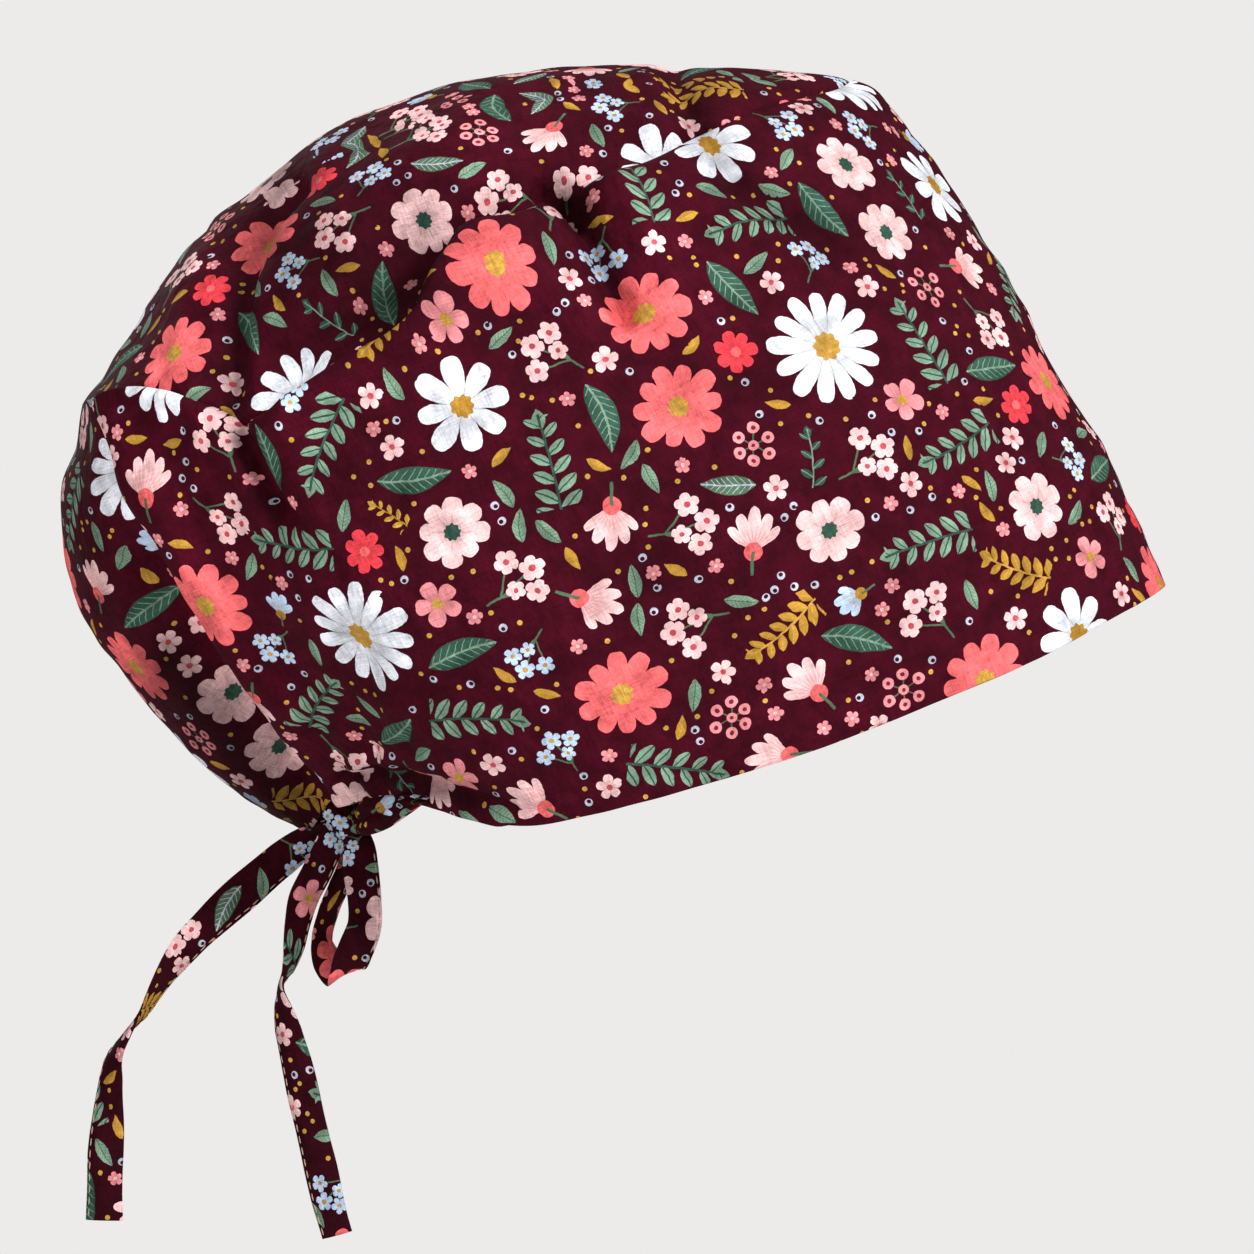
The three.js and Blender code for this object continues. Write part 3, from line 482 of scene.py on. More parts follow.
def panels():
    """Both panels as grids of points, normals and flat pattern, folds and edges included."""
    n_along = int(BAND_RUN / FACE)
    n_rise = int(BAND_RISE / FACE)
    n_out = int(CROWN_BEND / FACE)
    along = np.linspace(0, 1, n_along + 1)
    rise = np.linspace(0, 1, n_rise + 1)
    half = band_half(along, rise)
    seam = np.concatenate([half[:, -1], half[-1, -2::-1]])
    crown = crown_half(seam, np.linspace(0, 1, n_out + 1))
    crown[:, -1] = seam
    mirror = np.array([1, -1, 1])
    band = np.concatenate([half[:0:-1], half * mirror])
    crown = np.concatenate([crown[:, :0:-1] * mirror, crown], axis=1)
    band_n, crown_n = normals_of(band), normals_of(crown)
    crown_n[0] = crown_n[1, n_out]
    count = len(seam)
    for i in range(count):
        c = min(i, n_along)
        r = n_rise - max(i - n_along, 0)
        for bi, ci in ((n_along - c, 2 * n_out), (n_along + c, 0)):
            shared = unit(band_n[bi, r] + crown_n[i, ci])
            band_n[bi, r] = crown_n[i, ci] = shared
    band_start = np.stack(np.broadcast_arrays(
        np.linspace(-BAND_RUN, BAND_RUN, band.shape[0])[:, None], rise[None] * BAND_RISE), -1)
    crown_wide = CROWN_REACH * np.sqrt(np.linspace(0, 1, crown.shape[0]))[:, None]
    crown_start = np.stack(np.broadcast_arrays(
        np.linspace(0, CROWN_RUN, crown.shape[0])[:, None],
        np.linspace(-1, 1, crown.shape[1])[None] * crown_wide), -1)
    band_flat, crown_flat = flatten(band, band_start), flatten(crown, crown_start)
    # The band stands over the crown along their seam, and the crown drops under it.
    edge = look_up(OVERLAP, 1, np.arange(count) / (count - 1))
    up = (1 - rise)[None] * RIDGE_RISE
    end = np.abs(np.linspace(-1, 1, band.shape[0]))
    from_end = ((1 - end) * RIDGE_RUN)[:, None]
    ridge_top = np.interp(end, np.linspace(0, 1, n_along + 1), edge[:n_along + 1])[:, None]
    ridge_end = np.interp(rise, np.linspace(0, 1, n_rise + 1), edge[n_along:][::-1])[None]
    lift = ridge_top * (up / RIDGE_AT) * np.exp(1 - up / RIDGE_AT)
    lift = np.maximum(lift, ridge_end * (from_end / RIDGE_AT) * np.exp(1 - from_end / RIDGE_AT))
    width = np.linalg.norm(crown[:, -1] - crown[:, n_out], axis=-1)[:, None] * CROWN_BOW
    from_side = (1 - np.abs(np.linspace(-1, 1, crown.shape[1])))[None] * width
    drop = (DROP + DROP_MORE * edge)[:, None] * np.exp(-from_side / DROP_REACH)
    band = band + band_n * (fold_shift(band, "band") + lift)[..., None]
    crown = crown + crown_n * (fold_shift(crown, "crown") - drop)[..., None]
    tip_n = crown_n[:2]
    band_n, crown_n = normals_of(band), normals_of(crown)
    crown_n[:2] = tip_n
    return band, band_n, band_flat, crown, crown_n, crown_flat


def finished_band(grid, normals, flat):
    """The band with its hem along the bottom and its other edges turned under."""
    g, n, f = (turned(a) for a in (grid, normals, flat))
    pitch = np.linalg.norm(g[0] - g[1], axis=-1).mean()
    g, n, f = add_hem(g, n, f, HEM_ROLL, HEM_DEPTH, pitch)
    g, n, f = (a[::-1] for a in add_edge(g[::-1], n[::-1], f[::-1], rolled(SEAM_ROLL, SEAM_UNDER)))
    g, n, f = (turned(a) for a in (g, n, f))
    g, n, f = (a[::-1] for a in add_edge(g, n, f, rolled(SEAM_ROLL, SEAM_UNDER)))
    g, n, f = (a[::-1] for a in add_edge(g, n, f, rolled(SEAM_ROLL, SEAM_UNDER)))
    return g, f


def finished_crown(grid, normals, flat):
    """The crown with its casing at the nape, and its sides run on under the band."""
    g, n, f = (a[::-1] for a in (grid, normals, flat))
    pitch = np.linalg.norm(g[0] - g[1], axis=-1).mean()
    g, n, f = add_hem(g, n, f, HEM_ROLL, CASING_DEPTH, pitch)
    g, n, f = (turned(a[::-1]) for a in (g, n, f))
    g, n, f = (a[::-1] for a in add_edge(g, n, f, UNDER_BAND))
    g, n, f = (a[::-1] for a in add_edge(g, n, f, UNDER_BAND))
    return turned(g), turned(f)


# ---------------------------------------------------------------- the print

# Inks of the print, as sRGB colours.
INKS = {
    "ground": "#400617", "white": "#eceef6", "coral": "#ef6a6c", "blush": "#f3c4c4", "pink": "#e98f93",
    "scarlet": "#e0404a", "sky": "#b9cde6", "gold": "#c79a45", "mustard": "#b98a34", "sage": "#7d9a84",
    "forest": "#35574a", "moss": "#4f6b52", "rose": "#c9505c", "mist": "#b6bccb", "deep": "#7c2338",
}

# Motifs: kind, half length and half width in millimetres, square millimetres of cloth to each, petals or
# leaves, how deeply they are cut, rings, and the two inks.
MOTIFS = [
    ("bloom", 17.0, 0, 9800, 13, 0.42, 1, "white", "gold"),
    ("bloom", 12.5, 0, 6400, 10, 0.3, 3, "coral", "gold"),
    ("bloom", 13.5, 0, 11500, 8, 0.55, 1, "white", "mustard"),
    ("bloom", 9.6, 0, 8200, 8, 0.24, 2, "blush", "forest"),
    ("cup", 9.0, 6.6, 4200, 5, 0.0, 1, "blush", "coral"),
    ("spray", 14, 6.4, 5200, 5, 0.0, 1, "sage", "forest"),
    ("sprig", 9.0, 8.0, 3000, 5, 0.3, 1, "blush", "rose"),
    ("spray", 12, 5.2, 6000, 6, 0.0, 1, "mustard", "gold"),
    ("leaf", 9.5, 4.0, 3600, 1, 0.0, 1, "forest", "sage"),
    ("sprig", 7.0, 6.2, 3000, 5, 0.5, 1, "sky", "gold"),
    ("berries", 6.6, 0, 3000, 6, 0.0, 1, "pink", "deep"),
    ("bloom", 6.3, 0, 3900, 5, 0.5, 1, "pink", "gold"),
    ("bloom", 6.0, 0, 4400, 7, 0.35, 2, "scarlet", "coral"),
    ("cup", 6.0, 4.2, 3800, 4, 0.0, 1, "sky", "mustard"),
    ("spray", 8.5, 4.0, 2200, 3, 0.0, 1, "forest", "sage"),
    ("leaf", 7.0, 3.0, 2000, 1, 0.0, 1, "moss", "mist"),
    ("bloom", 3.6, 0, 1400, 5, 0.45, 1, "blush", "rose"),
    ("spray", 6.2, 2.9, 1500, 4, 0.0, 1, "gold", "mustard"),
    ("leaf", 4.4, 1.8, 700, 1, 0.0, 1, "sage", "moss"),
    ("leaf", 3.4, 1.2, 1300, 1, 0.0, 1, "mustard", "gold"),
    ("bloom", 2.2, 0, 700, 5, 0.4, 1, "pink", "blush"),
    ("dot", 1.1, 0, 520, 1, 0.0, 1, "mist", "ground"),
    ("dot", 0.7, 0, 260, 1, 0.0, 1, "gold", "gold"),
]
KINDS = ["bloom", "spray", "leaf", "berries", "dot", "sprig", "cup"]

# How far the print runs on past a piece of cloth, the gaps between large and small motifs, in millimetres,
# and how many places are tried for each motif.
PRINT_MARGIN = 14
WIDE_GAP, NARROW_GAP = 0.8, 0.55
TRIES = 24


def ink(name):
    """An ink as linear light."""
    c = np.array([int(INKS[name][k:k + 2], 16) for k in (1, 3, 5)]) / 255
    return np.where(c <= 0.04045, c / 12.92, ((c + 0.055) / 1.055) ** 2.4)


def lay_out(low, high, seed, share=1.0):
    """Motifs scattered over a rectangle of cloth so that none meets another: the larger ones go first."""
    rng = np.random.default_rng(seed)
    low, high = np.array(low) - PRINT_MARGIN, np.array(high) + PRINT_MARGIN
    area = float(np.prod(high - low))
    discs = np.zeros((0, 3))
    owner = np.zeros(0, int)
    placed = []
    for m, (_kind, long, wide, each, *_rest) in enumerate(MOTIFS):
        want = int(area / each * share)
        gap = WIDE_GAP if long > 5 else NARROW_GAP
        found = 0
        for _ in range(want * TRIES):
            if found >= want:
                break
            c = rng.uniform(low, high)
            a = rng.uniform(0, 2 * math.pi)
            along = np.array([math.cos(a), math.sin(a)])
            if wide:
                t = np.linspace(-1, 1, 5) * (long - wide)
                mine = np.column_stack([c + t[:, None] * along, np.full(5, wide)])
            else:
                mine = np.array([[c[0], c[1], long]])
            if len(discs):
                d = np.linalg.norm(discs[:, None, :2] - mine[None, :, :2], axis=-1)
                if (d - discs[:, None, 2] - mine[None, :, 2]).min() < gap:
                    continue
            owner = np.concatenate([owner, np.full(len(mine), len(placed))])
            discs = np.concatenate([discs, mine])
            placed.append((m, c[0], c[1], a, rng.uniform(0, 1)))
            found += 1
    return discs, owner, np.array(placed)


def lay_print(mesh, corners, flat, seed, share=1.0):
    """Gives each face the motif that it shows: where its corners lie on the motif, its form and inks. corners
    holds the place of each face's corners in the flat cloth."""
    discs, owner, placed = lay_out(flat.min(0), flat.max(0), seed, share)
    middle = corners.mean(axis=1)
    nearest = np.empty(len(corners), int)
    for k in range(0, len(corners), 4000):
        d = np.linalg.norm(middle[k:k + 4000, None] - discs[None, :, :2], axis=-1) - discs[None, :, 2]
        nearest[k:k + 4000] = owner[d.argmin(axis=1)]
    m = placed[nearest]
    which, turn = m[:, 0].astype(int), m[:, 3]
    kind = np.array([KINDS.index(x[0]) for x in MOTIFS])[which]
    size = np.array([x[1] for x in MOTIFS])[which]
    q = (corners - m[:, None, 1:3]) / size[:, None, None]
    c, s = np.cos(turn)[:, None], np.sin(turn)[:, None]
    x, y = q[..., 0] * c + q[..., 1] * s, -q[..., 0] * s + q[..., 1] * c
    at = np.stack([x, y, np.broadcast_to(kind[:, None], x.shape)], -1)
    vector_layer(mesh, "print_at", at.reshape(-1, 3))
    for name, values in (
        ("print_form", np.array([x[4:7] for x in MOTIFS], float)[which]),
        ("print_ink", np.array([ink(x[7]) for x in MOTIFS])[which]),
        ("print_ink_2", np.array([ink(x[8]) for x in MOTIFS])[which]),
        ("print_vary", np.stack([m[:, 4], size / 20, turn], -1)),
    ):
        vector_layer(mesh, name, np.repeat(values, corners.shape[1], axis=0))
    uv = mesh.uv_layers.new(name="pattern")
    uv.uv.foreach_set("vector", (corners.reshape(-1, 2) / 100).astype(np.float32).ravel())


def vector_layer(mesh, name, values):
    """Three numbers for each corner of each face."""
    layer = mesh.attributes.new(name, "FLOAT_VECTOR", "CORNER")
    layer.data.foreach_set("vector", np.asarray(values, np.float32).ravel())


# ---------------------------------------------------------------- shader groups


class Nodes:
    """A short way to write a node tree."""

    def __init__(self, tree):
        self.tree = tree

    def add(self, kind, **settings):
        node = self.tree.nodes.new(kind)
        for name, value in settings.items():
            setattr(node, name, value)
        return node

    def put(self, socket, value):
        if isinstance(value, bpy.types.NodeSocket):
            self.tree.links.new(value, socket)
        elif value is not None:
            socket.default_value = value

    def math(self, operation, a, b=None, c=None, clamp=False):
        node = self.add("ShaderNodeMath", operation=operation, use_clamp=clamp)
        for socket, value in zip(node.inputs, (a, b, c)):
            self.put(socket, value)
        return node.outputs[0]

    def ramp(self, value, low, high, to_low=0.0, to_high=1.0):
        node = self.add("ShaderNodeMapRange", interpolation_type="SMOOTHSTEP")
        titles = ("Value", "From Min", "From Max", "To Min", "To Max")
        for title, v in zip(titles, (value, low, high, to_low, to_high)):
            self.put(node.inputs[title], v)
        return node.outputs["Result"]

    def mix(self, factor, a, b, blend="MIX"):
        node = self.add("ShaderNodeMix", data_type="RGBA", blend_type=blend)
        self.put(node.inputs[0], factor)
        self.put(node.inputs[6], a)
        self.put(node.inputs[7], b)
        return node.outputs[2]

    def split(self, vector):
        node = self.add("ShaderNodeSeparateXYZ")
        self.put(node.inputs[0], vector)
        return node.outputs

    def join(self, x, y, z=0.0):
        node = self.add("ShaderNodeCombineXYZ")
        for socket, value in zip(node.inputs, (x, y, z)):
            self.put(socket, value)
        return node.outputs[0]

    def noise(self, vector, scale, detail=2.0, roughness=0.5):
        node = self.add("ShaderNodeTexNoise")
        for name, v in (("Vector", vector), ("Scale", scale), ("Detail", detail), ("Roughness", roughness)):
            self.put(node.inputs[name], v)
        return node.outputs[0]

    def plus(self, a, b):
        return self.math("ADD", a, b)

    def minus(self, a, b):
        return self.math("SUBTRACT", a, b)

    def mul(self, a, b):
        return self.math("MULTIPLY", a, b)

    def over(self, a, b):
        return self.math("DIVIDE", a, b)

    def away(self, x, y):
        """How far a place is from the middle."""
        return self.math("SQRT", self.plus(self.mul(x, x), self.mul(y, y)))

    def give(self, outputs, **values):
        """Sets a group's outputs."""
        for title, value in values.items():
            self.put(outputs[title], value)


def group(name, inputs, outputs):
    """A node group with its sockets: its tree, its nodes, its inputs and its outputs."""
    tree = bpy.data.node_groups.new(name, "ShaderNodeTree")
    for title, kind, value in inputs:
        socket = tree.interface.new_socket(title, in_out="INPUT", socket_type=kind)
        if value is not None:
            socket.default_value = value
    for title, kind in outputs:
        tree.interface.new_socket(title, in_out="OUTPUT", socket_type=kind)
    n = Nodes(tree)
    return tree, n, n.add("NodeGroupInput").outputs, n.add("NodeGroupOutput").inputs


FLOAT, VECTOR, COLOUR = "NodeSocketFloat", "NodeSocketVector", "NodeSocketColor"


def bloom_group():
    """A flower seen from above: petals round a middle, in up to three rings."""
    tree, n, i, o = group(
        "bloom",
        [("At", VECTOR, None), ("Petals", FLOAT, 8), ("Cut", FLOAT, 0.4), ("Rings", FLOAT, 1), ("Seed", FLOAT, 0)],
        [("Mask", FLOAT), ("Middle", FLOAT), ("Shade", FLOAT)],
    )
    x, y, _z = n.split(i["At"])
    r = n.away(x, y)
    turn = n.over(n.math("ARCTAN2", y, x), 2 * math.pi)
    around = n.mul(turn, i["Petals"])
    beside = n.math("ABSOLUTE", n.minus(n.mul(n.math("FRACT", around), 2), 1))
    mask = shade = None
    which = n.mul(n.math("FLOOR", around), 12.9898)
    uneven = n.math("FRACT", n.mul(n.math("SINE", n.plus(which, i["Seed"])), 437.5))
    for ring, (size, least) in enumerate(((1.0, 0.5), (0.66, 1.5), (0.4, 2.5))):
        a = beside if ring != 1 else n.minus(1, beside)
        out = n.over(r, size)
        shape = n.math("POWER", a, 3.0 if ring == 0 else 2.2)
        edge = n.minus(0.985, n.mul(shape, i["Cut"]))
        if ring == 0:
            edge = n.minus(edge, n.mul(uneven, 0.15))
        here = n.mul(n.math("LESS_THAN", out, edge), n.math("GREATER_THAN", i["Rings"], least))
        side = n.ramp(a, 0.72, 1.0, 1.0, 0.74)
        root = n.ramp(out, 0.15, 0.85, 0.8, 1.0)
        vein = n.mul(n.math("SINE", n.mul(a, 17.0)), 0.05)
        tone = n.plus(n.mul(side, root), vein)
        rim = n.ramp(n.minus(edge, out), 0.0, 0.1, 1.12 if ring else 1.0, 1.0)
        tone = n.mul(tone, rim)
        if mask is None:
            mask, shade = here, tone
        else:
            below = n.mul(shade, n.minus(1, here))
            shade = n.plus(below, n.mul(tone, here))
    wobble = n.mul(n.math("SINE", n.mul(turn, 2 * math.pi * 9)), 0.02)
    middle = n.math("LESS_THAN", n.plus(r, wobble), 0.215)
    n.give(o, Mask=mask, Middle=middle, Shade=shade)
    return tree


def spray_group():
    """A stem with pairs of leaves, along the motif's own X, or a single leaf where Leaves is one."""
    tree, n, i, o = group(
        "spray",
        [("At", VECTOR, None), ("Leaves", FLOAT, 5), ("Seed", FLOAT, 0)],
        [("Mask", FLOAT), ("Vein", FLOAT), ("Shade", FLOAT)],
    )
    x, y0, _z = n.split(i["At"])
    bow = n.mul(n.minus(i["Seed"], 0.5), 0.3)
    y = n.minus(y0, n.mul(bow, n.minus(n.mul(x, x), 0.4)))
    side = n.math("ABSOLUTE", y)
    stagger = n.mul(n.math("GREATER_THAN", y, 0.0), 0.45)
    pitch = n.over(1.75, i["Leaves"])
    at = n.plus(n.over(n.plus(x, 0.97), pitch), stagger)
    step = n.minus(n.math("FRACT", at), 0.08)
    dx = n.mul(step, pitch)
    reach = n.mul(n.minus(1.0, n.mul(x, 0.28)), 0.43)
    along = n.over(n.plus(n.mul(dx, 0.6), n.mul(side, 0.8)), reach)
    aside = n.over(n.minus(n.mul(side, 0.6), n.mul(dx, 0.8)), reach)
    inside = n.math("MAXIMUM", n.mul(along, n.minus(1.0, along)), 0.0)
    wide = n.mul(n.math("POWER", inside, 0.75), 0.62)
    leaf = n.math("LESS_THAN", n.math("ABSOLUTE", aside), wide)
    within = n.math("LESS_THAN", n.math("ABSOLUTE", x), 0.86)
    leaf = n.mul(leaf, within)
    tip_x = n.over(n.minus(x, 0.8), 0.2)
    tip_y = n.math("ABSOLUTE", n.mul(y, 9.0))
    tip = n.math("LESS_THAN", tip_y, n.minus(1.0, n.mul(tip_x, tip_x)))
    stem = n.mul(n.math("LESS_THAN", side, 0.022), n.math("LESS_THAN", n.math("ABSOLUTE", x), 0.9))
    mask = n.math("MAXIMUM", n.math("MAXIMUM", leaf, tip), stem)
    vein = n.mul(n.math("LESS_THAN", n.math("ABSOLUTE", aside), 0.03), leaf)
    vein = n.math("MAXIMUM", vein, stem)
    n.give(o, Mask=mask, Vein=vein, Shade=n.ramp(aside, -0.25, 0.25, 0.82, 1.1))
    return tree


def leaf_group():
    """One pointed leaf with its ribs."""
    tree, n, i, o = group(
        "leaf",
        [("At", VECTOR, None), ("Seed", FLOAT, 0)],
        [("Mask", FLOAT), ("Vein", FLOAT), ("Shade", FLOAT)],
    )
    x, y0, _z = n.split(i["At"])
    bow = n.mul(n.minus(i["Seed"], 0.5), 0.35)
    y = n.minus(y0, n.mul(bow, n.minus(n.mul(x, x), 0.5)))
    room = n.math("MAXIMUM", n.minus(1.0, n.mul(x, x)), 0.0)
    wide = n.mul(n.math("POWER", room, 0.9), n.minus(0.36, n.mul(x, 0.08)))
    side = n.math("ABSOLUTE", y)
    mask = n.math("LESS_THAN", side, wide)
    rib = n.math("LESS_THAN", side, 0.03)
    ribs = n.math("FRACT", n.mul(n.minus(x, n.mul(side, 0.9)), 4.5))
    inside = n.math("LESS_THAN", side, n.mul(wide, 0.86))
    ribs = n.mul(n.math("LESS_THAN", ribs, 0.15), inside)
    n.give(o, Mask=mask, Vein=n.mul(n.math("MAXIMUM", rib, ribs), mask), Shade=n.ramp(y, -0.2, 0.2, 0.84, 1.08))
    return tree


def berries_group():
    """A ring of small round buds on thin stalks."""
    tree, n, i, o = group(
        "berries",
        [("At", VECTOR, None), ("Buds", FLOAT, 6), ("Seed", FLOAT, 0)],
        [("Mask", FLOAT), ("Vein", FLOAT), ("Stalk", FLOAT)],
    )
    x, y, _z = n.split(i["At"])
    r = n.away(x, y)
    around = n.mul(n.over(n.math("ARCTAN2", y, x), 2 * math.pi), i["Buds"])
    angle = n.mul(n.minus(n.math("FRACT", around), 0.5), 2 * math.pi)
    angle = n.over(angle, i["Buds"])
    odd = n.math("SINE", n.mul(n.plus(n.math("FLOOR", around), i["Seed"]), 7.13))
    odd = n.math("FRACT", n.mul(odd, 91.7))
    out = n.plus(0.56, n.mul(odd, 0.16))
    px = n.minus(n.mul(r, n.math("COSINE", angle)), out)
    py = n.mul(r, n.math("SINE", angle))
    d = n.away(px, py)
    bud = n.math("MAXIMUM", n.math("LESS_THAN", d, 0.235), n.math("LESS_THAN", r, 0.2))
    heart = n.math("MAXIMUM", n.math("LESS_THAN", d, 0.09), n.math("LESS_THAN", r, 0.07))
    stalk = n.mul(n.math("LESS_THAN", n.math("ABSOLUTE", py), 0.025), n.math("LESS_THAN", r, out))
    n.give(o, Mask=n.math("MAXIMUM", bud, stalk), Vein=heart, Stalk=n.mul(stalk, n.minus(1.0, bud)))
    return tree


def near_line(n, x, y, a, b, wide):
    """One where a point is near the stretch from a to b."""
    dx, dy = b[0] - a[0], b[1] - a[1]
    px, py = n.minus(x, a[0]), n.minus(y, a[1])
    along = n.plus(n.mul(px, dx), n.mul(py, dy))
    t = n.math("DIVIDE", along, dx * dx + dy * dy, clamp=True)
    ex = n.minus(px, n.mul(t, dx))
    ey = n.minus(py, n.mul(t, dy))
    d = n.away(ex, ey)
    return n.math("LESS_THAN", d, wide)


def sprig_group():
    """Four small blossoms on forked stalks."""
    tree, n, i, o = group(
        "sprig",
        [("At", VECTOR, None), ("Cut", FLOAT, 0.4)],
        [("Mask", FLOAT), ("Vein", FLOAT), ("Stalk", FLOAT)],
    )
    x, y, _z = n.split(i["At"])
    heads = [(-0.58, 0.22, 0.34), (0.02, 0.62, 0.36), (0.6, 0.3, 0.33), (0.2, -0.12, 0.28)]
    mask = heart = stalk = None
    for k, (hx, hy, size) in enumerate(heads):
        px, py = n.minus(x, hx), n.minus(y, hy)
        r = n.over(n.away(px, py), size)
        turn = n.math("MULTIPLY_ADD", n.math("ARCTAN2", py, px), 5 / (2 * math.pi), 0.37 * k)
        beside = n.math("ABSOLUTE", n.minus(n.mul(n.math("FRACT", turn), 2), 1))
        edge = n.minus(1.0, n.mul(n.math("POWER", beside, 3.0), i["Cut"]))
        here = n.math("LESS_THAN", r, edge)
        core = n.math("LESS_THAN", r, 0.26)
        line = near_line(n, x, y, (hx, hy), (0.08, -0.55), 0.028)
        mask = here if mask is None else n.math("MAXIMUM", mask, here)
        heart = core if heart is None else n.math("MAXIMUM", heart, core)
        stalk = line if stalk is None else n.math("MAXIMUM", stalk, line)
    stalk = n.math("MAXIMUM", stalk, near_line(n, x, y, (0.08, -0.55), (0.0, -0.98), 0.032))
    n.give(o, Mask=n.math("MAXIMUM", mask, stalk), Vein=heart, Stalk=n.mul(stalk, n.minus(1.0, mask)))
    return tree


def cup_group():
    """A flower seen from the side: a fan of petals over a small calyx and a stalk."""
    tree, n, i, o = group(
        "cup",
        [("At", VECTOR, None), ("Petals", FLOAT, 5), ("Seed", FLOAT, 0)],
        [("Mask", FLOAT), ("Vein", FLOAT), ("Stalk", FLOAT), ("Shade", FLOAT)],
    )
    along, side, _z = n.split(i["At"])
    px = n.plus(along, 0.3)
    r = n.away(px, side)
    angle = n.over(n.math("ARCTAN2", side, px), 1.05)
    k = n.mul(n.plus(n.mul(angle, 0.5), 0.5), i["Petals"])
    beside = n.math("ABSOLUTE", n.minus(n.mul(n.math("FRACT", k), 2), 1))
    edge = n.minus(1.28, n.mul(n.math("POWER", beside, 2.6), 0.34))
    edge = n.minus(edge, n.mul(n.math("ABSOLUTE", angle), 0.38))
    fan = n.mul(n.math("LESS_THAN", n.math("ABSOLUTE", angle), 1.0), n.math("LESS_THAN", r, edge))
    calyx = n.math("LESS_THAN", r, 0.26)
    stalk = n.mul(n.math("LESS_THAN", n.math("ABSOLUTE", side), 0.045), n.math("LESS_THAN", px, 0.0))
    stalk = n.mul(stalk, n.math("GREATER_THAN", along, -0.98))
    lines = n.math("POWER", n.math("ABSOLUTE", n.math("SINE", n.mul(k, math.pi * 2))), 6.0)
    lines = n.mul(lines, n.ramp(r, 0.9, 0.4, 0.0, 1.0))
    n.give(
        o,
        Mask=n.math("MAXIMUM", n.math("MAXIMUM", fan, calyx), stalk),
        Vein=n.math("MAXIMUM", calyx, n.mul(lines, 0.55)),
        Stalk=stalk,
        Shade=n.ramp(r, 0.2, 1.1, 0.86, 1.04),
    )
    return tree


def print_group():
    """The print's colour: the motif that a face carries, in its inks, on the ground."""
    tree, n, i, o = group(
        "print",
        [("Ground", COLOUR, (*ink("ground"), 1)), ("Strength", FLOAT, 1.0)],
        [("Color", COLOUR), ("Mask", FLOAT)],
    )

    def layer(name):
        return n.add("ShaderNodeAttribute", attribute_name=name).outputs["Vector"]

    at, form, vary = layer("print_at"), layer("print_form"), layer("print_vary")
    ink_1, ink_2 = layer("print_ink"), layer("print_ink_2")
    _x, _y, kind = n.split(at)
    petals, cut, rings = n.split(form)
    seed, size, _turn = n.split(vary)
    place_of = n.add("ShaderNodeTexCoord").outputs["Object"]
    brush = n.add("ShaderNodeTexNoise")
    for name, v in (("Vector", place_of), ("Scale", 420.0), ("Detail", 2.0)):
        n.put(brush.inputs[name], v)
    shift = n.add("ShaderNodeVectorMath", operation="SUBTRACT")
    n.put(shift.inputs[0], brush.outputs["Color"])
    n.put(shift.inputs[1], (0.5, 0.5, 0.5))
    scaled = n.add("ShaderNodeVectorMath", operation="SCALE")
    n.put(scaled.inputs[0], shift.outputs[0])
    n.put(scaled.inputs["Scale"], n.over(0.035, n.math("MAXIMUM", size, 0.12)))
    moved = n.add("ShaderNodeVectorMath", operation="ADD")
    n.put(moved.inputs[0], at)
    n.put(moved.inputs[1], scaled.outputs[0])
    at = moved.outputs[0]

    def use(tree_, **values):
        node = n.add("ShaderNodeGroup")
        node.node_tree = tree_
        for name, v in values.items():
            n.put(node.inputs[name], v)
        return node.outputs

    bloom = use(bloom_group(), At=at, Petals=petals, Cut=cut, Rings=rings, Seed=seed)
    spray = use(spray_group(), At=at, Leaves=petals, Seed=seed)
    leaf = use(leaf_group(), At=at, Seed=seed)
    berries = use(berries_group(), At=at, Buds=petals, Seed=seed)
    sprig = use(sprig_group(), At=at, Cut=cut)
    cup = use(cup_group(), At=at, Petals=petals, Seed=seed)

    def is_kind(name):
        return n.math("COMPARE", kind, float(KINDS.index(name)), 0.3)

    x, y, _z = n.split(at)
    r = n.away(x, y)
    dot = n.mul(n.math("LESS_THAN", r, 0.95), is_kind("dot"))
    off = n.math("SQRT", n.plus(n.math("POWER", n.plus(x, 0.25), 2.0), n.math("POWER", y, 2.0)))
    total, second, shade = dot, n.mul(dot, n.math("LESS_THAN", off, 0.5)), dot
    stalks = None
    made_of = {"bloom": bloom, "spray": spray, "leaf": leaf, "berries": berries, "sprig": sprig, "cup": cup}
    for name, made in made_of.items():
        k = is_kind(name)
        m = n.mul(made["Mask"], k)
        total = n.math("MAXIMUM", total, m)
        second = n.math("MAXIMUM", second, n.mul(made["Middle" if name == "bloom" else "Vein"], k))
        if name in ("berries", "sprig", "cup"):
            stem = n.mul(made["Stalk"], k)
            stalks = stem if stalks is None else n.math("MAXIMUM", stalks, stem)
        tone = made["Shade"] if name in ("bloom", "spray", "leaf", "cup") else 1.0
        shade = n.plus(shade, n.mul(tone, m))
    grain = n.noise(place_of, 900.0, 2.0, 0.6)
    wash = n.noise(place_of, 150.0, 2.0, 0.5)
    shade = n.mul(shade, n.ramp(wash, 0.3, 0.7, 0.9, 1.07))
    speck = n.mul(second, n.ramp(grain, 0.35, 0.65, 0.0, 1.0))
    main = n.mix(1.0, ink_1, n.join(shade, shade, shade), "MULTIPLY")
    accent = n.mix(n.mul(speck, 0.4), ink_2, n.mix(1.0, ink_2, (0.45, 0.36, 0.3, 1), "MULTIPLY"))
    colour = n.mix(second, main, accent)
    colour = n.mix(stalks, colour, (*ink("moss"), 1))
    full = n.mix(n.mul(total, i["Strength"]), i["Ground"], colour)
    n.give(o, Color=full, Mask=total)
    return tree


